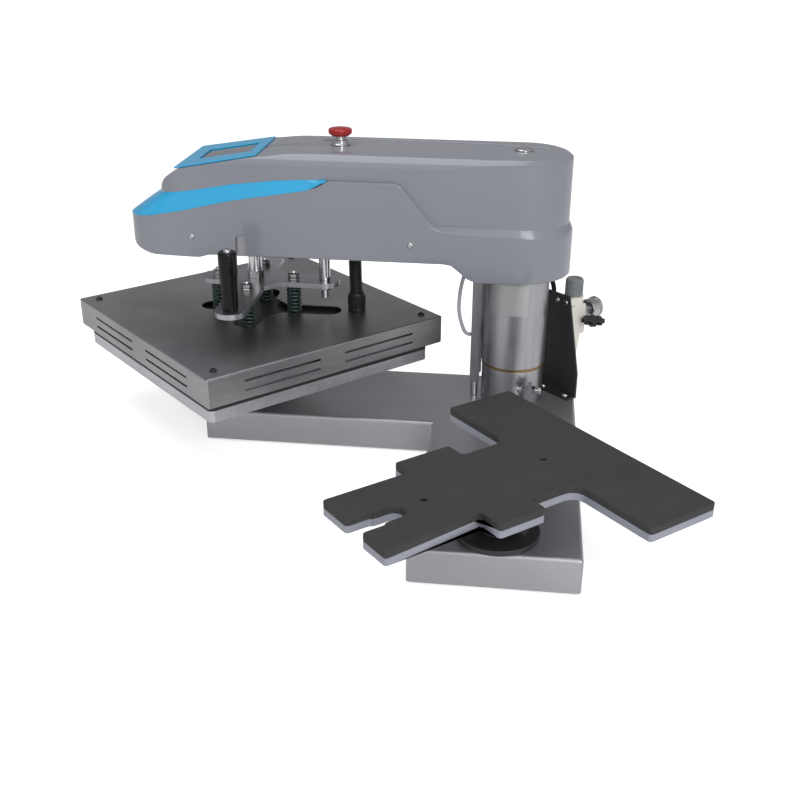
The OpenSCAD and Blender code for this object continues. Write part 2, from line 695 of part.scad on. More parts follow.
module head_cover() color("silver") difference() {
  at_head() {
    difference() {
      translate([-cover_x / 2, -cover_y / 2, cover_z]) cube([cover_x, cover_y, cover_h]);
      translate([-cover_x / 2 + cover_wall, -cover_y / 2 + cover_wall, cover_z - 1])
        cube([cover_x - 2 * cover_wall, cover_y - 2 * cover_wall, cover_h - cover_wall + 1]);
      for (s = [-1, 1], z = [cover_top - 16.5, cover_top - 31], y = [-1, 1])
        translate([s * (vent_len + 44) / 2, y * cover_y / 2, z]) slot_cutter(vent_len, vent_h, 10);
      for (s = [-1, 1], z = [cover_top - 16.5, cover_top - 31], x = [-1, 1]) rotate([0, 0, 90])
        translate([s * (vent_len + 44) / 2, x * cover_x / 2, z]) slot_cutter(vent_len, vent_h, 10);
      for (x = [-1, 1], y = [-1, 1])
        translate([x * (cover_x / 2 - post_inset), y * (cover_y / 2 - post_inset), cover_top - 5])
          cylinder(h = 10, r = 3);
    }
  }
  arm_axes() {
    translate([reach, 0, cover_top - 5]) linear_extrude(height = 10)
      cross_outline(21, 72, 118, 72, 72, 24);
    translate([gland_lf[0], gland_lf[1], cover_top - 5]) cylinder(h = 10, r = 9);
  }
}

module corner_screws() color("dimgray") at_head() for (x = [-1, 1], y = [-1, 1])
  translate([x * (cover_x / 2 - post_inset), y * (cover_y / 2 - post_inset),
    cover_top - cover_wall]) button_screw(3, 5.6, 3.4, cover_wall);

module spring_bolts() color("silver") arm_axes() translate([reach, 0, frame_top])
  for (a = [0 : 90 : 270]) rotate([0, 0, a]) translate([bolt_pcd_r, 0, 0]) {
    cylinder(h = cross_z - frame_top + 12.5, r = 5);
    translate([0, 0, cross_z - frame_top]) cylinder(h = 2, r = 10);
    translate([0, 0, cross_z - frame_top + 2]) cylinder(h = 8, r = 16 / sqrt(3), $fn = 6);
  }

module conduit_gland() color("black") arm_axes() translate([gland_lf[0], gland_lf[1], 0])
  difference() {
    union() {
      translate([0, 0, cover_top - 6]) cylinder(h = 6, r = 8.8);
      translate([0, 0, cover_top]) cylinder(h = 8, r = 30 / sqrt(3), $fn = 6);
      translate([0, 0, cover_top + 8]) cylinder(h = 25, r = 14);
    }
    translate([0, 0, cover_top + 25]) cylinder(h = 20, r = 10.4);
    translate([0, 0, cover_top - 7]) cylinder(h = 40, r = 6);
  }

base_shell();
rubber_feet();
column_base_tube();
column_spindle();
thrust_ring();
left_post();
left_platen();
left_pad();
front_post();
stop_post();
stop_screws();
regulator_bracket();
base_screws();
regulator_body();
regulator_bowl();
gauge_tee();
gauge_case();
push_fittings();
power_inlet();
supply_hose();
regulator_cap();
bleed_knob();
gauge_needle();
power_rocker();
shoe_platen();
shoe_pad();
shoe_screws();
shoe_socket();
platen_knob();
column_tube();
bronze_bushings();
index_bar();
arm_beam();
press_cylinder();
arm_skirt();
arm_top_cover();
side_trim();
display_bezel();
display_screen();
control_board();
estop_collar();
cover_screws();
rating_plate();
lock_hose();
head_conduit();
index_pin();
estop_button();
spider_plate();
piston_rod();
guide_rod();
handle_grip();
press_springs();
heat_platen();
heater_mat();
insulation();
head_frame();
head_cover();
corner_screws();
spring_bolts();
conduit_gland();
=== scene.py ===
import math

import bmesh
import bpy
from mathutils import Matrix, Vector


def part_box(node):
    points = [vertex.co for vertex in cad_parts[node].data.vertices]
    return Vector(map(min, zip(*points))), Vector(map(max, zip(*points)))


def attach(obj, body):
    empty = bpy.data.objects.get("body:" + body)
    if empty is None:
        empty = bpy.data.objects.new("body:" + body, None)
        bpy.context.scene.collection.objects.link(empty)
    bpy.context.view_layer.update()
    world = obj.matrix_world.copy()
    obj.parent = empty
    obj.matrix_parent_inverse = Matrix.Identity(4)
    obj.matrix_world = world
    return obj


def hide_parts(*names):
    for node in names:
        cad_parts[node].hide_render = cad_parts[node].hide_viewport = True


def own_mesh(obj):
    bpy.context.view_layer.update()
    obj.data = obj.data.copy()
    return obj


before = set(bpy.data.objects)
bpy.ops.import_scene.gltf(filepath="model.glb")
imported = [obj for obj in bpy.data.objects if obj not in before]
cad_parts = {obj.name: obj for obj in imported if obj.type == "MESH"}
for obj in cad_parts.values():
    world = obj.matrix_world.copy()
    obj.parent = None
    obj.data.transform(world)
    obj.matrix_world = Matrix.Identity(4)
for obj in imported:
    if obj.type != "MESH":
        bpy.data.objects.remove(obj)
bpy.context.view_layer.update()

MM = 0.001

# ---- Studio ----
# The camera stands at the front right, a little above the machine's arm. A pale paper sweep
# carries the machine, with one soft box overhead and two in front of it. The room is bright
# on the right and greyer elsewhere, for the metal to mirror.

def look_from(azimuth, pitch, roll, place, lens):
    a, e, r = (math.radians(v) for v in (azimuth, pitch, roll))
    ahead = Vector((-math.sin(a) * math.cos(e), math.cos(a) * math.cos(e), -math.sin(e)))
    level = Vector((math.cos(a), math.sin(a), 0))
    upright = level.cross(ahead)
    right = math.cos(r) * level + math.sin(r) * upright
    up = math.cos(r) * upright - math.sin(r) * level
    data = bpy.data.cameras.new("camera")
    data.lens, data.sensor_width = lens, 36
    data.clip_start, data.clip_end = 0.05, 50
    eye = bpy.data.objects.new("camera", data)
    turn = Matrix((right, up, -ahead)).transposed().to_4x4()
    eye.matrix_world = Matrix.Translation(place) @ turn
    bpy.context.collection.objects.link(eye)
    bpy.context.scene.camera = eye


look_from(azimuth=51.635, pitch=24.779, roll=0.42, place=Vector((1.17198, -1.16066, 0.80027)),
          lens=49.11)


class Wire:
    """A shader socket that takes arithmetic; node() adds any node that isn't arithmetic."""

    def __init__(self, tree, socket=None):
        self.tree, self.socket = tree, socket

    def feed(self, target, value):
        if isinstance(value, Wire):
            self.tree.links.new(value.socket, target)
        elif target.type == "RGBA":
            target.default_value = (*value, 1)
        else:
            target.default_value = value

    def node(self, kind, settings=None, values=None, out=0):
        made = self.tree.nodes.new(kind)
        for key, value in (settings or {}).items():
            setattr(made, key, value)
        for key, value in (values or {}).items():
            self.feed(made.inputs[key], value)
        return Wire(self.tree, made.outputs[out])

    def math(self, operation, first, second=0.0, clamped=False):
        return self.node("ShaderNodeMath", {"operation": operation, "use_clamp": clamped},
                         {0: first, 1: second})

    def __add__(self, other):
        return self.math("ADD", self, other)

    def __radd__(self, other):
        return self.math("ADD", other, self)

    def __sub__(self, other):
        return self.math("SUBTRACT", self, other)

    def __rsub__(self, other):
        return self.math("SUBTRACT", other, self)

    def __mul__(self, other):
        return self.math("MULTIPLY", self, other)

    def __rmul__(self, other):
        return self.math("MULTIPLY", other, self)

    def above(self, level, softness=0.05):
        """0 below the level, 1 above it, with a soft step between."""
        return self.math("MULTIPLY", self - level, 1 / softness, clamped=True)

    def mixed(self, low, high):
        """Colour between low and high, by this factor."""
        return self.node("ShaderNodeMix", {"data_type": "RGBA"}, {0: self, 6: low, 7: high}, out=2)


class Finish:
    """A material under way: patterns start from place, and done() gives the material."""

    def __init__(self, name):
        self.material = bpy.data.materials.new(name)
        self.material.use_nodes = True
        self.tree = self.material.node_tree
        self.tree.nodes.clear()
        self.place = Wire(self.tree).node("ShaderNodeTexCoord", out="Object")

    def grain(self, scale, stretch=(1, 1, 1), turn=0.0, detail=4.0, rough=0.6):
        """Noise, fine in the directions that stretch makes large."""
        place = self.place
        if stretch != (1, 1, 1) or turn:
            place = place.node("ShaderNodeMapping", {}, {"Vector": place,
                               "Rotation": (0, 0, turn), "Scale": stretch})
        return place.node("ShaderNodeTexNoise", {}, {"Vector": place, "Scale": scale,
                          "Detail": detail, "Roughness": rough})

    def relief(self, height, strength, depth):
        return self.place.node("ShaderNodeBump", {}, {"Strength": strength, "Distance": depth,
                               "Height": height}, out="Normal")

    def done(self, **sockets):
        shader = self.tree.nodes.new("ShaderNodeBsdfPrincipled")
        for label, value in sockets.items():
            self.place.feed(shader.inputs[label.replace("_", " ")], value)
        end = self.tree.nodes.new("ShaderNodeOutputMaterial")
        self.tree.links.new(shader.outputs[0], end.inputs[0])
        return self.material


def sweep_finish():
    paper = Finish("pale_paper")
    seen = paper.place.node("ShaderNodeLightPath", out="Is Camera Ray")
    return paper.done(Base_Color=(0.93, 0.93, 0.935), Roughness=0.8,
                      Emission_Color=seen.mixed((0.05, 0.05, 0.05), (1, 1, 1)),
                      Emission_Strength=0.6,
                      Normal=paper.relief(paper.grain(300), 0.1, 0.0005))


def make_floor():
    mesh = bpy.data.meshes.new("studio_floor")
    mesh.from_pydata([(-9, -9, 0), (9, -9, 0), (9, 9, 0), (-9, 9, 0)], [], [(0, 1, 2, 3)])
    floor = bpy.data.objects.new("studio_floor", mesh)
    mesh.materials.append(sweep_finish())
    bpy.context.collection.objects.link(floor)


make_floor()


def softbox(name, place, aim, size, watts):
    data = bpy.data.lights.new(name, "AREA")
    data.shape, data.size, data.size_y, data.energy = "RECTANGLE", *size, watts
    lamp = bpy.data.objects.new(name, data)
    way = (Vector(aim) - Vector(place)).to_track_quat("-Z", "Y")
    lamp.matrix_world = Matrix.Translation(place) @ way.to_matrix().to_4x4()
    bpy.context.collection.objects.link(lamp)


softbox("overhead", (-0.5, -0.4, 2.6), (0, -0.2, 0.2), (2.4, 1.6), 24)
softbox("left_front", (-1.9, -2.6, 1.3), (-0.1, -0.2, 0.25), (1.3, 1.6), 3)
softbox("right_front", (2.3, -0.9, 1.5), (0, -0.2, 0.25), (0.9, 1.8), 22)

room = bpy.data.worlds.new("pale_room")
room.use_nodes = True
outlook = Wire(room.node_tree).node("ShaderNodeTexCoord", out="Generated")
facing = outlook.node("ShaderNodeVectorMath", {"operation": "DOT_PRODUCT"},
                      {0: outlook, 1: Vector((0.95, -0.31, 0))}, out="Value")
lit = facing.math("MULTIPLY", facing, 1.0, clamped=True)
seen_room = outlook.node("ShaderNodeLightPath", out="Is Camera Ray")
outlook.feed(room.node_tree.nodes["Background"].inputs[0],
             seen_room.mixed(lit.mixed((0.30, 0.30, 0.31), (1, 1, 1)), (1, 1, 1)))
bpy.context.scene.world = room
bpy.context.scene.view_settings.view_transform = "Standard"

# ---- Base: folded sheet housing on rubber feet ----
# The V-shaped base is one 4 mm sheet, folded down on every side with a round bend and
# painted metallic grey. Moulded rubber feet stand inside it on the folded-over top.

def crisp(bm, angle=32):
    for face in bm.faces:
        face.smooth = True
    for edge in bm.edges:
        if len(edge.link_faces) == 2 and edge.calc_face_angle(0) > math.radians(angle):
            edge.smooth = False


def clean_copy(node):
    """The CAD node's shape as one joined mesh with its flat faces whole."""
    bm = bmesh.new()
    bm.from_mesh(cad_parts[node].data)
    bmesh.ops.remove_doubles(bm, verts=bm.verts, dist=3e-6)
    bmesh.ops.dissolve_limit(bm, angle_limit=math.radians(0.6), verts=bm.verts, edges=bm.edges)
    return bm


def round_edges(bm, width, chosen=None, segments=3, angle=35):
    edges = [e for e in bm.edges if len(e.link_faces) == 2
             and abs(e.calc_face_angle(0)) > math.radians(angle) and (chosen is None or chosen(e))]
    bmesh.ops.bevel(bm, geom=edges, offset=width * MM, offset_type="OFFSET", segments=segments,
                    profile=0.5, affect="EDGES", clamp_overlap=chosen is None)


def fitted(name, shape, finish, body, slot, *nodes):
    """Makes a piece from a bmesh or mesh, gives it its finish, and fixes it to its body."""
    if isinstance(shape, bmesh.types.BMesh):
        crisp(shape)
        mesh = bpy.data.meshes.new(name)
        shape.to_mesh(mesh)
        shape.free()
    else:
        mesh = shape
    mesh.name = name
    piece = bpy.data.objects.new(name, mesh)
    bpy.context.collection.objects.link(piece)
    mesh.materials.clear()
    mesh.materials.append(finish)
    even = piece.modifiers.new("even_shading", "WEIGHTED_NORMAL")
    even.keep_sharp = True
    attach(piece, body)
    if nodes:
        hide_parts(*nodes)
    return piece


def eased(node, width, finish, body, slot, chosen=None, segments=3, angle=35):
    """The CAD node with its edges rounded."""
    bm = clean_copy(node)
    round_edges(bm, width, chosen, segments, angle)
    return fitted(node + "_eased", bm, finish, body, slot, node)


def dressed(node, finish):
    """A CAD node that keeps its shape and takes a finish."""
    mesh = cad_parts[node].data
    mesh.materials.clear()
    mesh.materials.append(finish)


def arm(l, f, z):
    """A point in the arm's axes: l along the arm, f to its front side, in mm."""
    k = math.sqrt(0.5) * MM
    return Vector(((f - l) * k, (-l - f) * k, z * MM))


def metallic_grey():
    paint = Finish("metallic_grey_paint")
    flake = paint.grain(2600, detail=1.0)
    cloud = paint.grain(7, detail=3.0)
    streak = paint.grain(16, stretch=(1.0, 0.2, 1.0), turn=0.785, detail=6.0)
    colour = (cloud * 0.6 + flake * 0.4).above(0.3, 0.45).mixed((0.40, 0.40, 0.42), (0.52, 0.52, 0.54))
    return paint.done(Base_Color=colour, Metallic=0.75,
                      Roughness=0.27 + 0.16 * streak, Coat_Weight=0.15, Coat_Roughness=0.15,
                      Normal=paint.relief(paint.grain(420, detail=2.0), 0.06, 0.0004))


def rubber(name, shade):
    stuff = Finish(name)
    bloom = stuff.grain(45).above(0.4, 0.4)
    colour = bloom.mixed((shade, shade, shade), (shade * 1.7, shade * 1.7, shade * 1.75))
    return stuff.done(Base_Color=colour, Roughness=0.62 + 0.2 * bloom,
                      Normal=stuff.relief(stuff.grain(900, detail=2.0), 0.25, 0.0003))


_, base_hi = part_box("base_shell")
BASE_CORNERS = [(-104, -80), (484, -80), (484, 119), (119, 119), (119, 484), (-104, 484)]


def on_base_outside(edge):
    """True for the outer bends: along the top's rim and down the outer corners."""
    top = base_hi.z - 1e-5
    a, b = (v.co for v in edge.verts)
    corner = [arm(l, f, 0) for l, f in BASE_CORNERS]

    def outer(p):
        return any((Vector((p.x, p.y)) - Vector((c.x, c.y))).length < 2e-4 for c in corner)
    return outer(a) and outer(b) and (max(a.z, b.z) > top)


BASE_PAINT = metallic_grey()
eased("base_shell", 5, BASE_PAINT, "base", "base_paint", on_base_outside, segments=5)
BLACK_RUBBER = rubber("foot_rubber", 0.018)
eased("rubber_feet", 2, BLACK_RUBBER, "base", "rubber")


def moulded(name, colour, roughness=0.45, dust=1.25, shine=0.5):
    """Moulded plastic with a fine eroded skin."""
    plastic = Finish(name)
    cloud = plastic.grain(30)
    light = tuple(min(1, c * dust + 0.004) for c in colour)
    return plastic.done(Base_Color=cloud.mixed(colour, light), Roughness=roughness + 0.14 * cloud,
                        Specular_IOR_Level=shine,
                        Normal=plastic.relief(plastic.grain(1400, detail=2.0), 0.12, 0.0002))


BLACK_PLASTIC = moulded("black_plastic", (0.011, 0.011, 0.012), 0.30, 1.25, 0.35)
RED_SWITCH = moulded("switch_red", (0.45, 0.012, 0.01), 0.3)
eased("power_inlet", 0.8, BLACK_PLASTIC, "base", "black_plastic")
eased("power_rocker", 0.7, RED_SWITCH, "power_rocker", "red_plastic", angle=50)


def bright(name, shade=0.62, roughness=0.12, scratch=900):
    """Ground or plated steel with fine turning marks."""
    steel = Finish(name)
    mark = steel.grain(scratch, stretch=(0.15, 0.15, 1.0), detail=2.0)
    haze = steel.grain(60)
    colour = haze.mixed((shade * 0.86,) * 3, (shade, shade, shade * 1.03))
    return steel.done(Base_Color=colour, Metallic=1.0, Roughness=roughness + 0.14 * mark * haze,
                      Normal=steel.relief(mark, 0.08, 0.0001))


PLATED = bright("plated_steel")


BOX_SIDES = ((0, 1, 3, 2), (4, 6, 7, 5), (0, 4, 5, 1), (2, 3, 7, 6), (0, 2, 6, 4), (1, 5, 7, 3))


def inlet_pins():
    """Three flat contact blades in the power inlet's well, the middle one higher."""
    bm = bmesh.new()
    for l, z in ((293, 25), (300, 30), (307, 25)):
        v = [bm.verts.new(arm(l + s, f, z + t * 3))
             for f in (-79, -64) for t in (-1, 1) for s in (-1, 1)]
        for side in BOX_SIDES:
            bm.faces.new([v[i] for i in side])
    bmesh.ops.recalc_face_normals(bm, faces=bm.faces)
    round_edges(bm, 0.3, segments=2)
    return bm


fitted("inlet_pins", inlet_pins(), PLATED, "base", "ground_steel")

# ---- Fixed column foot, spindle and thrust ring ----
# A short drawn steel tube is welded to the base round a ground spindle. The turning tube
# stands over it on a bronze thrust ring.

def brushed(name, light, dark, stretch, roughness, scale=90, stain=0.5):
    """Bare steel or aluminium with long polishing streaks and faint handling marks."""
    metal = Finish(name)
    streak = metal.grain(scale, stretch=stretch, detail=7.0, rough=0.65)
    smudge = metal.grain(9, detail=4.0)
    tone = (streak * (1 - stain) + smudge * stain).above(0.32, 0.4)
    return metal.done(Base_Color=tone.mixed(dark, light), Metallic=1.0,
                      Roughness=roughness + 0.14 * streak + 0.1 * smudge,
                      Normal=metal.relief(streak, 0.10, 0.0002))


TUBE_STEEL = brushed("drawn_tube_steel", (0.58, 0.58, 0.60), (0.33, 0.33, 0.35), (1, 1, 0.06), 0.24)
eased("column_base_tube", 1.2, TUBE_STEEL, "base", "plain_steel")
dressed("column_spindle", PLATED)
BRONZE = brushed("turned_bronze", (0.42, 0.29, 0.14), (0.20, 0.13, 0.06), (0.1, 0.1, 2), 0.3)
dressed("thrust_ring", BRONZE)

# ---- Left station ----
# A machined aluminium platen, 400 mm square, lies on a welded steel post and flange.
# Its pad is a black silicone sheet.

PAINTED_STEEL = moulded("black_powder_coat", (0.020, 0.020, 0.022), 0.38, 1.6)
eased("left_post", 1.5, PAINTED_STEEL, "base", "dark_steel")


def upright_corner(edge):
    a, b = (v.co for v in edge.verts)
    return abs(a.z - b.z) > 2e-3 and (a.xy - b.xy).length < 1e-5


def plate_with_corners(node, corner, edge):
    """A plate whose corners are rounded in plan first, and then all round its faces."""
    bm = clean_copy(node)
    round_edges(bm, corner, upright_corner, segments=6)
    rim_lo, rim_hi = (c.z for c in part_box(node))

    def rim(e):
        heights = [v.co.z for v in e.verts]
        return max(heights) - min(heights) < 1e-6 and (
            abs(heights[0] - rim_lo) < 1e-5 or abs(heights[0] - rim_hi) < 1e-5)
    round_edges(bm, edge, rim, segments=3)
    return bm


CAST_PLATE = brushed("milled_aluminium", (0.66, 0.66, 0.68), (0.45, 0.45, 0.47), (0.05, 1, 1), 0.24)
fitted("left_platen_plate", plate_with_corners("left_platen", 9, 1.0), CAST_PLATE, "base",
       "aluminium_plate", "left_platen")
SILICONE = rubber("black_silicone", 0.012)
fitted("left_pad_sheet", plate_with_corners("left_pad", 9, 1.6), SILICONE, "base", "silicone",
       "left_pad")

# ---- Swing stop and front post ----
# The stop is a flat bar welded to the base, with a long adjusting screw and two lock nuts.
# The front post is a turned pin on a bolted flange.

eased("front_post", 1.2, PAINTED_STEEL, "base", "dark_steel")
BAR_STEEL = brushed("bright_bar", (0.62, 0.62, 0.64), (0.40, 0.40, 0.42), (1, 1, 0.08), 0.2)
eased("stop_post", 0.8, BAR_STEEL, "base", "plain_steel")
eased("stop_screws", 0.5, PLATED, "base", "ground_steel", segments=2)

# ---- Regulator, gauge and hose ----
# An air regulator hangs from a folded black bracket behind the column: cream body and bowl,
# ribbed grey cap, chrome gauge, black lobed valve knob and push-in fittings.

eased("regulator_bracket", 0.7, PAINTED_STEEL, "base", "dark_steel", segments=2)
CREAM = moulded("cream_plastic", (0.76, 0.74, 0.67), 0.4, 1.06)
eased("regulator_body", 2.0, CREAM, "base", "cream_plastic", angle=60)


def turned(profile, at, along=(0, 0, 1), sides=56):
    """A turned part: profile of (radius, height) in mm from axis to axis, set along a direction."""
    bm = bmesh.new()
    turn = Vector(along).to_track_quat("Z", "Y").to_matrix()
    rings = []
    for radius, height in profile:
        if radius < 1e-6:
            rings.append([bm.verts.new(at + turn @ Vector((0, 0, height * MM)))])
            continue
        ring = []
        for k in range(sides):
            a = math.tau * k / sides
            spot = Vector((radius * math.cos(a), radius * math.sin(a), height)) * MM
            ring.append(bm.verts.new(at + turn @ spot))
        rings.append(ring)
    for low, high in zip(rings, rings[1:]):
        for k in range(sides):
            j = (k + 1) % sides
            corners = [low[k % len(low)], low[j % len(low)], high[j % len(high)], high[k % len(high)]]
            bm.faces.new(list(dict.fromkeys(corners)))
    bmesh.ops.recalc_face_normals(bm, faces=bm.faces)
    return bm


REG = Vector((28.5, 102.5, 0)) * MM
fitted("regulator_bowl_turned", turned([(0, 104), (3.6, 104), (5, 105), (5, 111), (10, 112),
       (11.2, 114), (12, 121), (11.7, 121.6), (11.9, 123.6), (12.6, 124.2), (14.9, 150), (15, 152),
       (0, 152)], REG), CREAM, "base", "cream_plastic", "regulator_bowl")


def new_tree(name, **inputs):
    """An empty geometry tree with named inputs, and its input and output nodes."""
    tree = bpy.data.node_groups.new(name, "GeometryNodeTree")
    tree.interface.new_socket("Geometry", in_out="INPUT", socket_type="NodeSocketGeometry")
    for label, kind in inputs.items():
        tree.interface.new_socket(label, in_out="INPUT", socket_type="NodeSocket" + kind)
    tree.interface.new_socket("Geometry", in_out="OUTPUT", socket_type="NodeSocketGeometry")
    return tree, tree.nodes.new("NodeGroupInput"), tree.nodes.new("NodeGroupOutput")


def add(tree, kind, settings=None, **links):
    """Adds a geometry node; links give its inputs as sockets or values."""
    made = tree.nodes.new(kind)
    for key, value in (settings or {}).items():
        setattr(made, key, value)
    for label, value in links.items():
        target = made.inputs[int(label[1:])] if label[0] == "i" and label[1:].isdigit() \
            else made.inputs[label.replace("_", " ")]
        if isinstance(value, bpy.types.NodeSocket):
            tree.links.new(value, target)
        else:
            target.default_value = value
    return made


def grown(tree, seed_mesh, **values):
    """Runs a geometry tree on a mesh and gives the plain mesh it makes."""
    host = bpy.data.objects.new("seed", seed_mesh)
    bpy.context.collection.objects.link(host)
    grow = host.modifiers.new("grow", "NODES")
    grow.node_group = tree
    for item in tree.interface.items_tree:
        if item.in_out == "INPUT" and item.name in values:
            grow[item.identifier] = values[item.name]
    ready = host.evaluated_get(bpy.context.evaluated_depsgraph_get())
    mesh = bpy.data.meshes.new_from_object(ready)
    bpy.data.objects.remove(host)
    return mesh


def seating_tree():
    """Seats a copy of one part on every point, its Z along the point's up, turned at random."""
    tree, given, result = new_tree("seated_parts", Part="Object", Size="Float", Spin="Float",
                                   Seed="Int", Finish="Material")
    up = add(tree, "GeometryNodeInputNamedAttribute", {"data_type": "FLOAT_VECTOR"}, Name="up")
    face = add(tree, "FunctionNodeAlignRotationToVector", {"axis": "Z"}, Vector=up.outputs[0])
    spin = add(tree, "FunctionNodeRandomValue", {"data_type": "FLOAT"}, i8=given.outputs["Seed"],
               i3=given.outputs["Spin"])
    about = add(tree, "ShaderNodeCombineXYZ", Z=spin.outputs[1])
    own = add(tree, "FunctionNodeEulerToRotation", i0=about.outputs[0])
    both = add(tree, "FunctionNodeRotateRotation", {"rotation_space": "LOCAL"},
               i0=face.outputs[0], i1=own.outputs[0])
    part = add(tree, "GeometryNodeObjectInfo", {"transform_space": "ORIGINAL"},
               Object=given.outputs["Part"])
    points = add(tree, "GeometryNodeMeshToPoints", Mesh=given.outputs["Geometry"])
    size = add(tree, "ShaderNodeCombineXYZ", X=given.outputs["Size"], Y=given.outputs["Size"],
               Z=given.outputs["Size"])
    seated = add(tree, "GeometryNodeInstanceOnPoints", Points=points.outputs[0],
                 Instance=part.outputs["Geometry"], Rotation=both.outputs[0], Scale=size.outputs[0])
    real = add(tree, "GeometryNodeRealizeInstances", Geometry=seated.outputs[0])
    painted = add(tree, "GeometryNodeSetMaterial", Geometry=real.outputs[0],
                  Material=given.outputs["Finish"])
    tree.links.new(painted.outputs[0], result.inputs[0])
    return tree


SEATED = seating_tree()


def seated(part, seats, finish, size=1.0, spin=math.tau, seed=1):
    """Copies of a bmesh part on seats, each a point and an up direction."""
    crisp(part)
    mesh = bpy.data.meshes.new("part")
    part.to_mesh(mesh)
    part.free()
    model = bpy.data.objects.new("part", mesh)
    bpy.context.collection.objects.link(model)
    spots = bpy.data.meshes.new("seats")
    spots.from_pydata([p for p, _ in seats], [], [])
    ups = spots.attributes.new("up", "FLOAT_VECTOR", "POINT")
    for k, (_, up) in enumerate(seats):
        ups.data[k].vector = up
    made = grown(SEATED, spots, Part=model, Size=size, Spin=spin, Seed=seed, Finish=finish)
    bpy.data.objects.remove(model)
    return made


def block(size, round_by=0.0):
    """A block about the origin, in mm, with its edges rounded."""
    bm = bmesh.new()
    bmesh.ops.create_cube(bm, size=1)
    for v in bm.verts:
        v.co = Vector([k * s for k, s in zip(v.co, size)]) * MM
    if round_by:
        round_edges(bm, round_by, segments=2)
    return bm


def rib_seats(centre, radius, count, height):
    """Seats round an upright axis, for ribs that stand upright."""
    seats = []
    for k in range(count):
        a = math.tau * k / count
        out = Vector((math.cos(a), math.sin(a), 0))
        seats.append((centre + out * radius * MM + Vector((0, 0, height * MM)), (0, 0, 1)))
    return seats


GREY_PLASTIC = moulded("cap_grey", (0.20, 0.21, 0.22), 0.42)
fitted("regulator_cap_body", turned([(0, 202), (6, 202), (6, 215.4), (12.8, 215.4), (13.6, 216.2),
       (13.6, 242.2), (12.8, 243.4), (10, 243.4), (9.5, 242.8), (9.5, 241.9), (0, 241.9)], REG),
       GREY_PLASTIC, "regulator_cap", "grey_plastic", "regulator_cap")
fitted("regulator_cap_ribs", seated(block((1.7, 1.7, 24), 0.6), rib_seats(REG, 13.6, 24, 229.4),
       GREY_PLASTIC, spin=0.0), GREY_PLASTIC, "regulator_cap", "grey_plastic", "regulator_cap")
eased("gauge_tee", 0.8, TUBE_STEEL, "base", "plain_steel", segments=2)
GAUGE = Vector((30, 135.5, 184)) * MM
fitted("gauge_case_turned", turned([(0, 0), (15.2, 0), (16, 0.8), (16, 16), (17.1, 16.4),
       (17.5, 17.2), (17.5, 20), (16.9, 20.9), (15.6, 21), (15.1, 20.4), (15, 14), (0, 14)],
       GAUGE, (0, 1, 0)), PLATED, "base", "ground_steel", "gauge_case")


def dial_paint():
    """White dial with a fine black ring near its rim."""
    dial = Finish("gauge_dial")
    away = dial.place.node("ShaderNodeVectorMath", {"operation": "DISTANCE"},
                           {0: dial.place, 1: GAUGE + Vector((0, 14.1, 0)) * MM}, out="Value")
    rim = away.above(0.0128, 0.0002) * (1 - away.above(0.0132, 0.0002))
    specks = dial.grain(700).mixed((0.80, 0.80, 0.78), (0.86, 0.86, 0.84))
    return dial.done(Base_Color=rim.mixed(specks, (0.02, 0.02, 0.02)), Roughness=0.5)


fitted("gauge_dial", turned([(0, 14.05), (14.9, 14.05), (14.9, 14.3), (0, 14.3)], GAUGE, (0, 1, 0)),
       dial_paint(), "base", "ground_steel")
INK = moulded("dial_ink", (0.012, 0.012, 0.012), 0.5)


def dial_marks():
    """Eleven scale marks over 270 degrees, one for each whole number from 0 to 10."""
    seats = []
    for k in range(0, 51, 5):
        a = math.radians(225 - k * 5.4)
        out = Vector((-math.cos(a), 0, math.sin(a)))
        seats.append((GAUGE + out * 11.3 * MM + Vector((0, 14.35, 0)) * MM, out))
    return seats


fitted("gauge_marks", seated(block((0.3, 0.12, 2.6)), dial_marks(), INK, spin=0.0), INK, "base",
       "black_plastic")
dressed("gauge_needle", INK)
LENS = Finish("gauge_lens").done(Base_Color=(0.9, 0.92, 0.92), Roughness=0.05, Alpha=0.12)
fitted("gauge_lens", turned([(0, 18.6), (15.3, 18.2), (15.3, 18.9), (0, 19.4)], GAUGE, (0, 1, 0)),
       LENS, "base", "ground_steel")
eased("bleed_knob", 1.4, BLACK_PLASTIC, "bleed_knob", "black_plastic", angle=50)
eased("push_fittings", 0.8, GREY_PLASTIC, "base", "grey_plastic", segments=2)


def skinned(bm, loops):
    """Faces from loop to loop, closed at both ends, all turned outwards."""
    for low, high in zip(loops, loops[1:]):
        for k in range(len(low)):
            j = (k + 1) % len(low)
            bm.faces.new([low[k], low[j], high[j], high[k]])
    bm.faces.new(loops[0][::-1])
    bm.faces.new(loops[-1])
    bmesh.ops.recalc_face_normals(bm, faces=bm.faces)
    return bm


def tube_along(points, radius, sides=14, step=4):
    """A smooth closed tube through points given in metres."""
    path = []
    for i in range(len(points) - 1):
        a, b, c, d = (points[max(0, min(len(points) - 1, i + k))] for k in (-1, 0, 1, 2))
        for j in range(step):
            t = j / step
            path.append(0.5 * (2 * b + (c - a) * t + (2 * a - 5 * b + 4 * c - d) * t * t
                               + (3 * b - a - 3 * c + d) * t ** 3))
    path.append(points[-1])
    bm, rings, side = bmesh.new(), [], Vector((1, 0.3, 0))
    for i, p in enumerate(path):
        way = (path[min(i + 1, len(path) - 1)] - path[max(i - 1, 0)]).normalized()
        side = (side - way * side.dot(way)).normalized()
        other = way.cross(side)
        rings.append([bm.verts.new(p + radius * MM * (math.cos(math.tau * k / sides) * side
                      + math.sin(math.tau * k / sides) * other)) for k in range(sides)])
    return skinned(bm, rings)


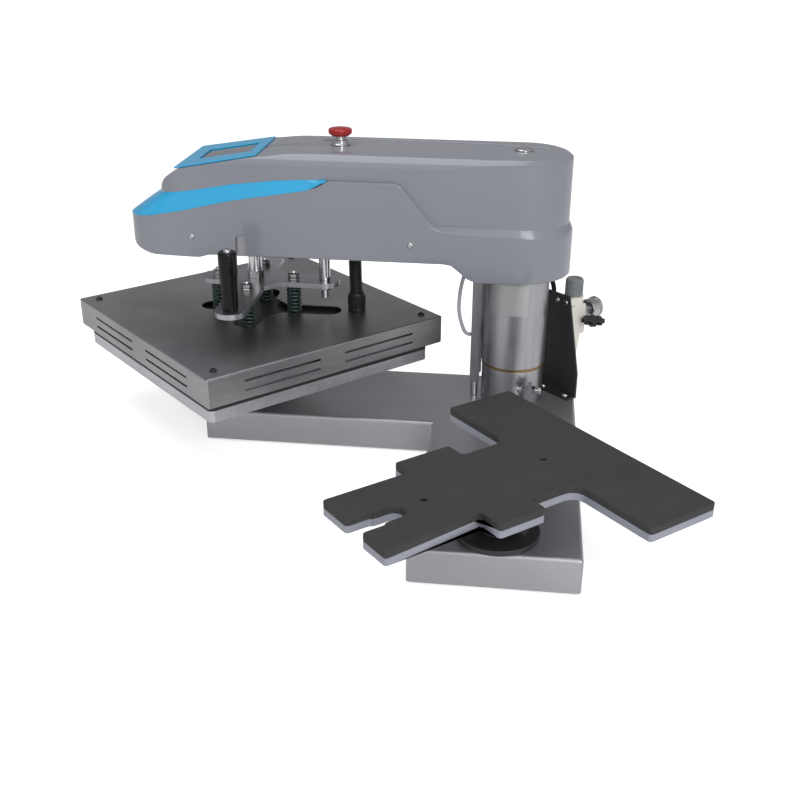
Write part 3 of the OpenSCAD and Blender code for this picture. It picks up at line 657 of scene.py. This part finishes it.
SUPPLY_ROUTE = [(-16, 102.5, 202), (-16, 102.5, 214), (-17, 98, 228), (-16, 89, 243),
                (-12, 80, 257), (-4, 74, 270), (3, 71, 282), (6, 70, 292)]
fitted("supply_hose_tube", tube_along([Vector(p) * MM for p in SUPPLY_ROUTE], 4), BLACK_PLASTIC,
       "base", "black_plastic", "supply_hose")


def loop_at(bm, reaches, z):
    """Points evenly round the Z axis, one at each reach from it, in mm."""
    count = len(reaches)
    return [bm.verts.new(Vector((r * math.cos(math.tau * k / count),
                                 r * math.sin(math.tau * k / count), z)) * MM)
            for k, r in enumerate(reaches)]


def button_head(radius, tall, socket, shank):
    """A domed cap screw head with a hexagon socket, standing on z = 0 over its shank."""
    sides = 24
    rings = [(radius * 0.5, -shank), (radius * 0.5, 0), (radius, 0), (radius, tall * 0.25),
             (radius * 0.93, tall * 0.55), (radius * 0.78, tall * 0.82), (radius * 0.6, tall),
             (socket * 1.12, tall)]
    hexagon = [socket / math.cos((math.tau * k / sides + math.pi / 6) % (math.pi / 3) - math.pi / 6)
               for k in range(sides)]
    bm = bmesh.new()
    loops = [loop_at(bm, [r] * sides, z) for r, z in rings]
    loops += [loop_at(bm, hexagon, z) for z in (tall, tall * 0.3)]
    return skinned(bm, loops)


foot_seats = [(Vector((x, 67, 56)) * MM, (0, 0, 1)) for x in (8, 58)]
back_seats = [(Vector((x, 76, 210)) * MM, (0, -1, 0)) for x in (19.5, 37.5)]
fitted("bracket_foot_screws", seated(button_head(5.5, 3.5, 2.1, 3), foot_seats, PLATED), PLATED,
       "base", "ground_steel", "base_screws")
fitted("regulator_screws", seated(button_head(3.8, 2.4, 1.4, 3), back_seats, PLATED, seed=4), PLATED,
       "base", "ground_steel", "base_screws")

# ---- Shoe station ----
# A blue-grey painted plate, cut to go inside a shoe, carries a soft black sponge pad. It turns
# on the front post and a lobed knob clamps it.

eased("shoe_socket", 1.0, PAINTED_STEEL, "shoe_station", "dark_steel", segments=2)
LIGHT_PAINT = Finish("pale_blue_grey_paint")
paint_cloud = LIGHT_PAINT.grain(25)
LIGHT_PAINT = LIGHT_PAINT.done(Base_Color=paint_cloud.mixed((0.27, 0.28, 0.33), (0.33, 0.34, 0.39)),
                               Roughness=0.34 + 0.12 * paint_cloud, Metallic=0.1,
                               Normal=LIGHT_PAINT.relief(LIGHT_PAINT.grain(600), 0.06, 0.0003))
SPONGE = Finish("silicone_sponge")
pores = SPONGE.grain(1500, detail=3.0, rough=0.75)
wear = SPONGE.grain(14, detail=5.0)
SPONGE = SPONGE.done(
    Base_Color=(wear * 0.7 + pores * 0.3).above(0.35, 0.4).mixed((0.032, 0.032, 0.033),
                                                                 (0.048, 0.048, 0.049)),
    Roughness=0.66 + 0.2 * wear,
    Normal=SPONGE.relief(pores * 0.5 + SPONGE.grain(160, detail=3.0) * 0.5, 0.35, 0.0005))


def shoe_plate(node, edge):
    """The shoe plate or its pad: corners rounded in plan, then the rims of its faces."""
    bm = clean_copy(node)
    lo, hi = (c.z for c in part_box(node))
    sharp = [e for e in bm.edges if upright_corner(e) and abs(e.calc_face_angle(0)) > math.radians(60)]
    bmesh.ops.bevel(bm, geom=sharp, offset=5 * MM, offset_type="OFFSET", segments=5, profile=0.5,
                    affect="EDGES", clamp_overlap=False)

    def rim(e):
        a, b = (v.co.z for v in e.verts)
        return abs(a - b) < 1e-6 and (abs(a - hi) < 1e-5 or abs(a - lo) < 1e-5)
    round_edges(bm, edge, rim, segments=4)
    return bm


fitted("shoe_plate", shoe_plate("shoe_platen", 0.8), LIGHT_PAINT, "shoe_station", "light_plate",
       "shoe_platen")
fitted("shoe_pad_sheet", shoe_plate("shoe_pad", 1.8), SPONGE, "shoe_station", "sponge", "shoe_pad")
dressed("shoe_screws", PLATED)
eased("platen_knob", 1.6, BLACK_PLASTIC, "platen_knob", "black_plastic", angle=50)

# ---- Swinging column ----
# A drawn steel tube on two bronze bushings. A square bar, welded to its front by a narrow web,
# holds the index pin; a grey hose feeds it. A blank aluminium plate lies round the tube.

eased("column_tube", 0.8, TUBE_STEEL, "swing_arm", "plain_steel", segments=2)
dressed("bronze_bushings", BRONZE)
HOUSING_STEEL = brushed("housing_steel", (0.38, 0.38, 0.40), (0.24, 0.24, 0.26), (1, 1, 0.08), 0.3)
eased("index_bar", 1.2, HOUSING_STEEL, "swing_arm", "plain_steel", segments=2)
eased("index_pin", 1.0, PLATED, "index_pin", "ground_steel")
LABEL = brushed("plate_aluminium", (0.58, 0.58, 0.59), (0.47, 0.47, 0.48), (0.2, 0.2, 1), 0.4)
dressed("rating_plate", LABEL)


def weld_beads():
    """Overlapping ripples along both sides of the square bar's welds."""
    seats = []
    for side in (-1, 1):
        for low in (158, 262):
            for k in range(12):
                seats.append((arm(52.2, side * 5.8, low + 1 + 2.2 * k), arm(1, side * 0.5, 0) * 1000))
    return seats


def bead():
    bm = bmesh.new()
    bmesh.ops.create_icosphere(bm, subdivisions=2, radius=1)
    for v in bm.verts:
        v.co = Vector((v.co.x * 1.7, v.co.y * 1.9, v.co.z * 1.2)) * MM
    return bm


WELD = brushed("weld_metal", (0.42, 0.41, 0.40), (0.20, 0.18, 0.17), (1, 1, 1), 0.42)
fitted("bar_welds", seated(bead(), weld_beads(), WELD, spin=0.0), WELD, "swing_arm", "plain_steel")
LOCK_ROUTE = [(72, 8, 300), (74, 8, 288), (80, 9, 268), (86, 9, 246), (89, 9, 222), (89, 9, 200),
              (85, 7, 180), (80, 3, 165), (75, 1, 159), (67, 0, 158)]
GREY_HOSE = moulded("grey_hose", (0.42, 0.44, 0.47), 0.3, 1.1)
fitted("lock_hose_tube", tube_along([arm(*p) for p in LOCK_ROUTE], 3), GREY_HOSE, "swing_arm",
       "grey_hose", "lock_hose")

# ---- Inside the arm ----
# A welded box beam carries the press cylinder; its solenoid and display board stand on it.

dressed("arm_beam", PAINTED_STEEL)
dressed("press_cylinder", CAST_PLATE)
BOARD = moulded("green_board", (0.012, 0.10, 0.04), 0.35, 1.5)
dressed("control_board", BOARD)

# ---- Arm housing ----
# Two glossy grey painted shells: a deep skirt round the beam, and a cover that stands on the
# skirt's shelf. A bright blue moulded strip lies on the shelf and runs round the nose.

def piecewise(points, at):
    """Height at a place along straight stretches between points."""
    if at <= points[0][0]:
        return points[0][1]
    for (x0, y0), (x1, y1) in zip(points, points[1:]):
        if at <= x1:
            return y0 + (y1 - y0) * (at - x0) / (x1 - x0)
    return points[-1][1]


def eased_line(points, reach=7):
    """The same line with its corners rounded over a reach either side."""
    return lambda at: sum(piecewise(points, at + reach * (k / 3 - 1)) for k in range(7)) / 7


SKIRT_PLAN = (88, 81, 602, 58)
COVER_PLAN = (80, 75, 549, 38)
RIDGE = [(-120, 352), (127, 358), (179, 420), (286, 420), (300, 410), (345, 402), (430, 388),
         (515, 368), (620, 350)]
FOOT = [(-120, 272.5), (67, 272.5), (101, 301), (469, 301), (484, 296), (560, 298), (588, 304),
        (620, 318)]
BAND = [(-120, 12), (60, 11), (118, 7), (134, 0), (620, 0)]
ridge, foot, band = eased_line(RIDGE, 5), eased_line(FOOT, 4), eased_line(BAND, 6)
NOSE_START = 510
SIDE_STOPS = [110, 114, 120, 127, 134, 142, 152, 162, 172, 179, 186, 200, 230, 260, 279, 286, 293,
              300, 315, 345, 365, 392, 410, 430, 445, 460, 470, 484, 497, NOSE_START]


def plan(half, rear, nose, corner, inset):
    """The arm's plan as points (l, f), the same number for every inset.

    It has a half width, a rear radius, a nose and its corner radius. Between the rear and the
    first side stop the plan widens, straight at first and then ever less.
    """
    w, r, n = half - inset, rear - inset, nose - inset
    c = max(corner - inset, 1)
    near = [(l, w) for l in SIDE_STOPS]
    points = [(r * math.cos(a), r * math.sin(a)) for a in
              (math.pi * (1.5 - k / 24) for k in range(25))][::-1]
    left = [(l, -r - (w - r) * l / SIDE_STOPS[0]) for l in (15, 60)]
    left += [(l, -r - (w - r) * share) for l, share in ((74, 0.67), (82, 0.75), (90, 0.82), (99, 0.9))]
    points += left + [(l, -f) for l, f in near]
    points += [(n - c + c * math.sin(a), -w + c - c * math.cos(a))
               for a in (math.pi / 2 * k / 10 for k in range(11))]
    points += [(n, f * (w - c)) for f in (-0.6, -0.2, 0.2, 0.6)]
    points += [(n - c + c * math.cos(a), w - c + c * math.sin(a))
               for a in (math.pi / 2 * k / 10 for k in range(11))]
    points += near[::-1] + [(l, -f) for l, f in left[::-1]]
    return points


def shell(rings, capped):
    """A surface through rings of (l, f, z); its last ring is closed across the middle."""
    bm = bmesh.new()
    loops = [[bm.verts.new(arm(*p)) for p in ring] for ring in rings]
    count = len(loops[0])
    for low, high in zip(loops, loops[1:]):
        for k in range(count):
            j = (k + 1) % count
            bm.faces.new([low[k], low[j], high[j], high[k]])
    if capped:
        bm.faces.new(loops[-1])
    bmesh.ops.remove_doubles(bm, verts=bm.verts, dist=2e-5)
    bmesh.ops.recalc_face_normals(bm, faces=bm.faces)
    return bm


def thickened(bm, depth, cutters=()):
    """Gives a surface a wall on its inner side, and cuts holes through it."""
    for face in bm.faces:
        face.smooth = True
    mesh = bpy.data.meshes.new("shell")
    bm.to_mesh(mesh)
    bm.free()
    host = bpy.data.objects.new("shell", mesh)
    bpy.context.collection.objects.link(host)
    wall = host.modifiers.new("wall", "SOLIDIFY")
    wall.thickness, wall.offset = depth * MM, -1
    tools = []
    for cutter in cutters:
        tool_mesh = bpy.data.meshes.new("cutter")
        cutter.to_mesh(tool_mesh)
        cutter.free()
        tool = bpy.data.objects.new("cutter", tool_mesh)
        bpy.context.collection.objects.link(tool)
        cut = host.modifiers.new("cut", "BOOLEAN")
        cut.object, cut.operation, cut.solver = tool, "DIFFERENCE", "MANIFOLD"
        tools.append(tool)
    made = bpy.data.meshes.new_from_object(
        host.evaluated_get(bpy.context.evaluated_depsgraph_get()))
    for extra in [host, *tools]:
        bpy.data.objects.remove(extra)
    final = bmesh.new()
    final.from_mesh(made)
    return final


def gloss_grey():
    """Two-pack gloss grey: a little orange peel and faint cloudiness."""
    paint = Finish("gloss_grey_paint")
    cloud = paint.grain(4, detail=1.0)
    peel = paint.grain(170, detail=1.0)
    return paint.done(Base_Color=cloud.mixed((0.215, 0.226, 0.262), (0.255, 0.266, 0.302)),
                      Roughness=0.20 + 0.08 * cloud, Coat_Weight=0.5, Coat_Roughness=0.06,
                      Normal=paint.relief(peel, 0.035, 0.0006))


GLOSS_GREY = gloss_grey()


def skirt_ring(inset, height):
    return [(l, f, height(l)) for l, f in plan(*SKIRT_PLAN, inset)]


def skirt_surface():
    rings = [skirt_ring(4, lambda l: foot(l) + 0.3), skirt_ring(1.2, foot),
             skirt_ring(0.3, lambda l: foot(l) + 0.8), skirt_ring(0, lambda l: foot(l) + 2.5)]
    for share in (0.1, 0.3, 0.5, 0.7, 0.9):
        rings.append(skirt_ring(0, lambda l, s=share: foot(l) + 2.5
                                + s * (ridge(l) - band(l) - foot(l) - 5.5)))
    for inset, below in ((0.2, 2.2), (0.9, 0.9), (2.2, 0.2), (4, 0), (6.4, 0), (11, 0)):
        slant = max(1 - inset / 6.4, 0)
        rings.append(skirt_ring(inset, lambda l, b=below, s=slant: ridge(l) - b - s * band(l)))
    return shell(rings, False)


def plate_between(l0, l1, f0, f1, z0, z1):
    """A flat plate in the arm's axes."""
    bm = bmesh.new()
    v = [bm.verts.new(arm(l, f, z)) for z in (z0, z1) for f in (f0, f1) for l in (l0, l1)]
    for side in BOX_SIDES:
        bm.faces.new([v[i] for i in side])
    bmesh.ops.recalc_face_normals(bm, faces=bm.faces)
    round_edges(bm, 0.5, segments=2)
    return bm


def slot_tool():
    """Round-topped cutter for the sight slot in the skirt's front side."""
    outline = [(408, 285), (427, 285)] + [
        (417.5 + 9.5 * math.cos(a), 325 + 9.5 * math.sin(a))
        for a in (math.pi * k / 12 for k in range(13))]
    bm = bmesh.new()
    near = [bm.verts.new(arm(l, 100, z)) for l, z in outline]
    far = [bm.verts.new(arm(l, 78, z)) for l, z in outline]
    bm.faces.new(near)
    bm.faces.new(far[::-1])
    for k in range(len(outline)):
        j = (k + 1) % len(outline)
        bm.faces.new([near[k], far[k], far[j], near[j]])
    bmesh.ops.recalc_face_normals(bm, faces=bm.faces)
    return bm


fitted("skirt_shell", thickened(skirt_surface(), 3, [slot_tool()]), GLOSS_GREY, "swing_arm",
       "arm_paint", "arm_skirt")

CREST = [(-120, 451), (-66, 455), (-30, 457), (335, 457), (392, 450), (510, 430), (535, 414),
         (549, 395), (600, 320)]
crest = eased_line(CREST, 4)
SLOPE = [(-90, 352), (-77.5, 446), (-67, 455), (-56, 457), (56, 457), (67, 455), (77.5, 446), (90, 352)]
slope = eased_line(SLOPE, 1.6)
LEAN = 76.5 / 78.0


def blunt_min(a, b, soft):
    """The lower of two heights, rounded where they cross."""
    h = max(soft - abs(a - b), 0) / soft
    return min(a, b) - h * h * soft / 4


def roof(l, f):
    """Height of the cover's top over a place: rear bevel, side bevels, crown and nose."""
    across = f if l > 0 else math.copysign(math.hypot(l, f), f or 1)
    return blunt_min(slope(across * LEAN), crest(l), 2)


def cover_surface():
    def ring(inset, height):
        return [(l, f, height(l, f)) for l, f in plan(*COVER_PLAN, inset)]
    rings = [ring(0, lambda l, f: ridge(l) - 6)]
    for share in (0.15, 0.45, 0.75, 1.0):
        rings.append(ring(0, lambda l, f, s=share: ridge(l) - 6 + s * (roof(l, f) - ridge(l) + 2)))
    for inset in (0.3, 0.9, 2, 3.5, 5, 6.5, 8, 10, 12, 14.5, 17, 20, 24, 28, 33, 37, 38.5, 40, 41.5,
                  43, 44.5, 46, 48, 51, 55, 60, 66, 70, 73):
        rings.append(ring(inset, roof))
    return shell(rings, True)


fitted("cover_shell", thickened(cover_surface(), 2.5), GLOSS_GREY, "swing_arm", "arm_paint",
       "arm_top_cover")
BEAD_LINE = [(-44, -14), (25, -24), (47, -34), (271, -42), (318, -22)]
bead_path = [(l, piecewise(BEAD_LINE, l)) for l in range(-44, 319, 12)]
fitted("cover_panel_bead", tube_along([arm(l, f, roof(l, f) + 0.1) for l, f in bead_path], 1.6),
       GLOSS_GREY, "swing_arm", "arm_paint")
fitted("sight_slot_liner", plate_between(404, 431, 80.5, 82.5, 299, 342), BASE_PAINT, "swing_arm",
       "arm_paint")


def blue_strip():
    """Moulded blue: clear, even and a little waxy."""
    plastic = Finish("sky_blue_plastic")
    cloud = plastic.grain(18)
    return plastic.done(Base_Color=cloud.mixed((0.018, 0.36, 0.66), (0.028, 0.42, 0.74)),
                        Roughness=0.24 + 0.1 * cloud, Coat_Weight=0.3, Coat_Roughness=0.1,
                        Normal=plastic.relief(plastic.grain(700), 0.05, 0.0003))


SKY_BLUE = blue_strip()
UPPER_EDGE = [(286, 421.5), (363, 417), (427, 409.5), (492, 398), (536, 392), (549, 388), (602, 362)]
upper_edge = eased_line(UPPER_EDGE, 4)
STRIP_START = 286
POINT_LENGTH = 22
STEPS_UP = 6


def strip_surface():
    """The blue strip's band round the arm: from one pointed end, about the nose, to the other."""
    outer = plan(*SKIRT_PLAN, 0)
    inner = plan(*COVER_PLAN, -0.4)
    columns = []
    for (lo, fo), (li, fi) in zip(outer, inner):
        if lo < STRIP_START:
            continue
        point = min((lo - STRIP_START) / POINT_LENGTH, 1)
        low = ridge(lo) + 0.4
        top = upper_edge(li if lo > NOSE_START else lo)
        low = top - 0.6 + (low - top + 0.6) * point
        steps = []
        for k in range(STEPS_UP + 1):
            t = k / STEPS_UP
            bulge = 0.9 * math.sin(math.pi * t)
            steps.append((lo + (li - lo) * t, fo + (fi - fo) * t, low + (top - low) * t + bulge))
        columns.append(steps)
    return columns


def strip_mesh():
    columns = strip_surface()
    bm = bmesh.new()
    grid = [[bm.verts.new(arm(*p)) for p in column] for column in columns]
    floor = [[bm.verts.new(arm(l, f, z - 2.2)) for l, f, z in (c[0], c[-1])] for c in columns]
    for i in range(len(grid) - 1):
        for k in range(STEPS_UP):
            bm.faces.new([grid[i][k], grid[i + 1][k], grid[i + 1][k + 1], grid[i][k + 1]])
        bm.faces.new([grid[i][0], floor[i][0], floor[i + 1][0], grid[i + 1][0]])
        bm.faces.new([grid[i][-1], grid[i + 1][-1], floor[i + 1][1], floor[i][1]])
        bm.faces.new([floor[i][0], floor[i][1], floor[i + 1][1], floor[i + 1][0]])
    for i, flip in ((0, False), (len(grid) - 1, True)):
        ring = grid[i] + [floor[i][1], floor[i][0]]
        bm.faces.new(ring[::-1] if flip else ring)
    bmesh.ops.recalc_face_normals(bm, faces=bm.faces)
    return bm


fitted("blue_side_strip", strip_mesh(), SKY_BLUE, "swing_arm", "blue_plastic", "side_trim")

# ---- Display, stop button and housing screws ----
# A blue bezel is screwed on the sloping top round a glossy screen. A red mushroom button with a
# chrome collar stands behind it, and a chrome plug closes the column's bore.

eased("display_bezel", 0.9, SKY_BLUE, "swing_arm", "blue_plastic")
GLASS = Finish("screen_glass")
pane = GLASS.place.node("ShaderNodeVectorMath", {"operation": "DOT_PRODUCT"},
                        {0: GLASS.place, 1: Vector((-0.7071, -0.7071, 0))}, out="Value")
across = GLASS.place.node("ShaderNodeVectorMath", {"operation": "DOT_PRODUCT"},
                          {0: GLASS.place, 1: Vector((0.7071, -0.7071, 0))}, out="Value")
inner = (1 - across.math("ABSOLUTE", across).above(0.029, 0.0006)) * pane.above(0.415, 0.0006) \
    * (1 - pane.above(0.487, 0.0006))
shade = GLASS.grain(90).mixed((0.115, 0.125, 0.135), (0.150, 0.160, 0.170))
GLASS = GLASS.done(Base_Color=inner.mixed((0.02, 0.02, 0.022), shade), Roughness=0.12,
                   Coat_Weight=0.6, Coat_Roughness=0.03)
eased("display_screen", 0.5, GLASS, "swing_arm", "screen", segments=2)
TOP = arm(278, 0, 457)
fitted("estop_collar_turned", turned([(0, -24), (11, -24), (11, 0), (15, 0), (15, 1.6), (14, 2.8),
       (12.2, 3), (12, 3.4), (12, 7.2), (11.2, 8), (7.2, 8), (7.05, 7.4), (7.05, -16), (0, -16)], TOP),
       PLATED, "swing_arm", "ground_steel", "estop_collar")
fitted("estop_stem_turned", turned([(0, -10), (7, -10), (7, 13), (0, 13)], TOP), PLATED,
       "estop_button", "ground_steel")
RED = moulded("stop_red", (0.32, 0.006, 0.006), 0.08, 1.2)
fitted("estop_button_turned", turned([(0, 13), (12.6, 13), (13.4, 13.4),
       (17.4, 16.6), (18, 17.4), (18, 22), (17.4, 23.2), (16.2, 23.9), (15, 24.2), (14.4, 24.0),
       (13.8, 24.3), (8, 25.6), (0, 26)], TOP), RED, "estop_button", "red_plastic", "estop_button")
fitted("column_plug", turned([(0, 445), (10, 445), (10, 457), (14.5, 457), (14.5, 458.2),
       (13.6, 459.4), (9.4, 459.6), (9, 459), (8.6, 459.6), (0, 459.6)], Vector((0, 0, 0))), PLATED,
       "swing_arm", "ground_steel", "cover_screws")
side_seats = [(arm(l, s * 88.0, 329), arm(0, s, 0) * 1000) for l in (494, 160) for s in (-1, 1)]
fitted("housing_screws", seated(button_head(4.4, 2.6, 1.5, 5), side_seats, PLATED, seed=3), PLATED,
       "swing_arm", "ground_steel", "cover_screws")

# ---- Pressing group ----
# The piston rod carries a cross-shaped steel plate. A guide rod beside it keeps it square, a
# black turned handle stands at its front end, and four dark green springs press on the head.

eased("spider_plate", 0.8, BAR_STEEL, "press_group", "plain_steel", angle=50)
CHROMED = bright("chromed_rod", 0.72, 0.07, 1500)
eased("piston_rod", 0.8, CHROMED, "press_group", "ground_steel", segments=2, angle=40)
eased("guide_rod", 0.8, CHROMED, "press_group", "ground_steel", segments=2, angle=40)
GRIP = arm(420, 160, 0)
GRIP_BLACK = moulded("grip_black", (0.004, 0.004, 0.005), 0.06, 1.4, 0.22)
fitted("handle_grip_turned", turned([(0, 240), (10.6, 240), (11.5, 241), (12, 243), (12.5, 282),
       (13.2, 293), (14, 300), (14, 325), (13.4, 328.4), (12, 330), (7, 330), (6.6, 329), (0, 329)],
       GRIP), GRIP_BLACK, "press_group", "black_plastic", "handle_grip")
fitted("handle_screws", seated(button_head(6, 4.6, 2.6, 2), [(GRIP + Vector((0, 0, 0.3292)), (0, 0, 1)),
       (GRIP + Vector((0, 0, 0.2318)), (0, 0, -1))], PLATED, seed=7), PLATED, "press_group",
       "ground_steel", "handle_grip")


def spring_tree():
    """Closed round-wire springs standing on points."""
    tree, given, result = new_tree("coil_springs", Turns="Float", Radius="Float", Height="Float",
                                   Wire="Float", Finish="Material")
    coil = add(tree, "GeometryNodeCurveSpiral", i0=26, i1=given.outputs["Turns"],
               i2=given.outputs["Radius"], i3=given.outputs["Radius"], i4=given.outputs["Height"])
    ring = add(tree, "GeometryNodeCurvePrimitiveCircle", Resolution=10, Radius=given.outputs["Wire"])
    wire = add(tree, "GeometryNodeCurveToMesh", Curve=coil.outputs[0], i1=ring.outputs[0],
               Fill_Caps=True)
    points = add(tree, "GeometryNodeMeshToPoints", Mesh=given.outputs["Geometry"])
    stood = add(tree, "GeometryNodeInstanceOnPoints", Points=points.outputs[0],
                Instance=wire.outputs[0])
    real = add(tree, "GeometryNodeRealizeInstances", Geometry=stood.outputs[0])
    painted = add(tree, "GeometryNodeSetMaterial", Geometry=real.outputs[0],
                  Material=given.outputs["Finish"])
    tree.links.new(painted.outputs[0], result.inputs[0])
    return tree


SPRING_GREEN = Finish("spring_green_enamel")
enamel = SPRING_GREEN.grain(60)
SPRING_GREEN = SPRING_GREEN.done(
    Base_Color=enamel.mixed((0.010, 0.030, 0.028), (0.022, 0.055, 0.050)), Roughness=0.3 + 0.2 * enamel,
    Coat_Weight=0.3, Normal=SPRING_GREEN.relief(SPRING_GREEN.grain(500), 0.1, 0.0003))
BOLT_SPOTS = [arm(420 + 62 * c, 62 * s, 0) for c, s in ((1, 0), (0, 1), (-1, 0), (0, -1))]
SPRING_FOOT, SPRING_TOP = 0.1809, 0.232
spring_feet = bpy.data.meshes.new("spring_feet")
spring_feet.from_pydata([p + Vector((0, 0, SPRING_FOOT)) for p in BOLT_SPOTS], [], [])
springs = fitted("coil_springs", grown(spring_tree(), spring_feet, Turns=8.0, Radius=0.0103,
                 Height=0.0488, Wire=0.0021, Finish=SPRING_GREEN), SPRING_GREEN, "press_group",
                 "spring_paint", "press_springs")
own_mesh(springs)

# ---- Heated head ----
# A 22 mm aluminium heating block with its mat and wool lies under a folded, brushed stainless
# cover with slotted sides. Four studs with washers and nuts hang it from the cross plate.

dressed("heat_platen", CAST_PLATE)
MICA = moulded("mica_mat", (0.42, 0.26, 0.12), 0.5)
dressed("heater_mat", MICA)
WOOL = moulded("mineral_wool", (0.70, 0.67, 0.60), 0.85)
dressed("insulation", WOOL)
dressed("head_frame", PAINTED_STEEL)
COVER_STEEL = brushed("brushed_stainless", (0.46, 0.46, 0.47), (0.27, 0.27, 0.28), (1, 0.03, 1), 0.26,
                      scale=260, stain=0.6)
cover_lo, cover_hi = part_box("head_cover")


def cover_fold(edge):
    """The cover's outer folds: round its top and down its corners."""
    a, b = (v.co for v in edge.verts)

    def sides(p):
        return (abs(p.x - cover_lo.x) < 1e-5 or abs(p.x - cover_hi.x) < 1e-5,
                abs(p.y - cover_lo.y) < 1e-5 or abs(p.y - cover_hi.y) < 1e-5,
                abs(p.z - cover_hi.z) < 1e-5)
    both = [m and n for m, n in zip(sides(a), sides(b))]
    return sum(both) >= 2 and (a - b).length > 0.02


eased("head_cover", 2.2, COVER_STEEL, "heat_head", "plain_steel", cover_fold, segments=4)
INSET = 24 * MM
corner_seats = [(Vector((x, y, cover_hi.z)), (0, 0, 1))
                for x in (cover_lo.x + INSET, cover_hi.x - INSET)
                for y in (cover_lo.y + INSET, cover_hi.y - INSET)]
fitted("cover_corner_screws", seated(button_head(5.6, 3.4, 2.2, 2), corner_seats, BLACK_PLASTIC, seed=5),
       BLACK_PLASTIC, "heat_head", "black_plastic", "corner_screws")


def stud():
    """Threaded stud with its washer and two hexagon nuts, standing on z = 0."""
    root, thread, pitch = 4.5, 5, 1.2
    rings = [(0, 0), (thread, 0), (thread, 22)]
    for k in range(12):
        rings += [(root, 22.6 + k * pitch), (thread, 23.2 + k * pitch)]
    rings += [(thread, 53), (10, 53), (10, 54.8), (9.8, 55), (thread, 55), (thread, 63)]
    for k in range(7):
        rings += [(root, 63.6 + k * pitch), (thread, 64.2 + k * pitch)]
    rings += [(4.4, 73.5), (0, 73.5)]
    bm = turned(rings, Vector((0, 0, 0)), sides=24)
    nut = bmesh.new()
    for levels in (((8.3, 55), (9.6, 56), (9.6, 62.4), (8.3, 63.4)),
                   ((8.0, 63.8), (9.2, 64.6), (9.2, 69.4), (8.0, 70.2))):
        skinned(nut, [loop_at(nut, [r] * 6, z) for r, z in levels])
    extra = bpy.data.meshes.new("nut")
    nut.to_mesh(extra)
    nut.free()
    bm.from_mesh(extra)
    bpy.data.meshes.remove(extra)
    return bm


stud_seats = [(p + Vector((0, 0, 0.179)), (0, 0, 1)) for p in BOLT_SPOTS]
fitted("hanger_studs", seated(stud(), stud_seats, PLATED, seed=6), PLATED, "heat_head", "ground_steel",
       "spring_bolts")
GLAND = arm(257, -10, 0)
fitted("gland_body", turned([(0, 181.5), (8.8, 181.5), (8.8, 187.5), (13, 187.5), (14.4, 188.4),
       (14.4, 194.8), (13.4, 195.6), (12.6, 195.8), (12.6, 197), (13.2, 197.4), (13.4, 213),
       (12.2, 216.5), (11.2, 218), (10.4, 218), (10.2, 212), (0, 212)], GLAND), BLACK_PLASTIC,
       "heat_head", "black_plastic", "conduit_gland")
fitted("gland_ribs", seated(block((2.0, 2.0, 15), 0.6), rib_seats(GLAND, 13.3, 20, 205),
       BLACK_PLASTIC, spin=0.0), BLACK_PLASTIC, "heat_head", "black_plastic", "conduit_gland")


def conduit_tree():
    """Corrugated conduit along a path: the tube's radius rises and falls at each rib."""
    tree, given, result = new_tree("ribbed_conduit", Radius="Float", Depth="Float", Steps="Int",
                                   Finish="Material")
    path = add(tree, "GeometryNodeMeshToCurve", Mesh=given.outputs["Geometry"])
    even = add(tree, "GeometryNodeResampleCurve", Curve=path.outputs[0], Count=given.outputs["Steps"])
    index = add(tree, "GeometryNodeInputIndex")
    phase = add(tree, "ShaderNodeMath", {"operation": "MULTIPLY"}, i0=index.outputs[0],
                i1=math.pi / 2)
    wave = add(tree, "ShaderNodeMath", {"operation": "SINE"}, i0=phase.outputs[0])
    lift = add(tree, "ShaderNodeMath", {"operation": "MULTIPLY"}, i0=wave.outputs[0],
               i1=given.outputs["Depth"])
    width = add(tree, "ShaderNodeMath", {"operation": "ADD"}, i0=lift.outputs[0], i1=1.0)
    ring = add(tree, "GeometryNodeCurvePrimitiveCircle", Resolution=28, Radius=given.outputs["Radius"])
    body = add(tree, "GeometryNodeCurveToMesh", Curve=even.outputs[0], i1=ring.outputs[0],
               Scale=width.outputs[0], Fill_Caps=True)
    real = add(tree, "GeometryNodeRealizeInstances", Geometry=body.outputs[0])
    painted = add(tree, "GeometryNodeSetMaterial", Geometry=real.outputs[0],
                  Material=given.outputs["Finish"])
    tree.links.new(painted.outputs[0], result.inputs[0])
    return tree


conduit_path = bpy.data.meshes.new("conduit_path")
STRETCHES = 12
bows = [math.sin(math.pi * k / STRETCHES) for k in range(STRETCHES + 1)]
bends = [arm(257 + 2.2 * bow, -10 - 1.2 * bow, 212.6 + 122.4 * k / STRETCHES)
         for k, bow in enumerate(bows)]
conduit_path.from_pydata(bends, [(k, k + 1) for k in range(STRETCHES)], [])
conduit = fitted("ribbed_conduit", grown(conduit_tree(), conduit_path, Radius=0.0097, Depth=0.11,
                 Steps=145, Finish=BLACK_PLASTIC), BLACK_PLASTIC, "swing_arm", "black_plastic",
                 "head_conduit")
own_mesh(conduit)

# ---- Final update ----

bpy.context.view_layer.update()
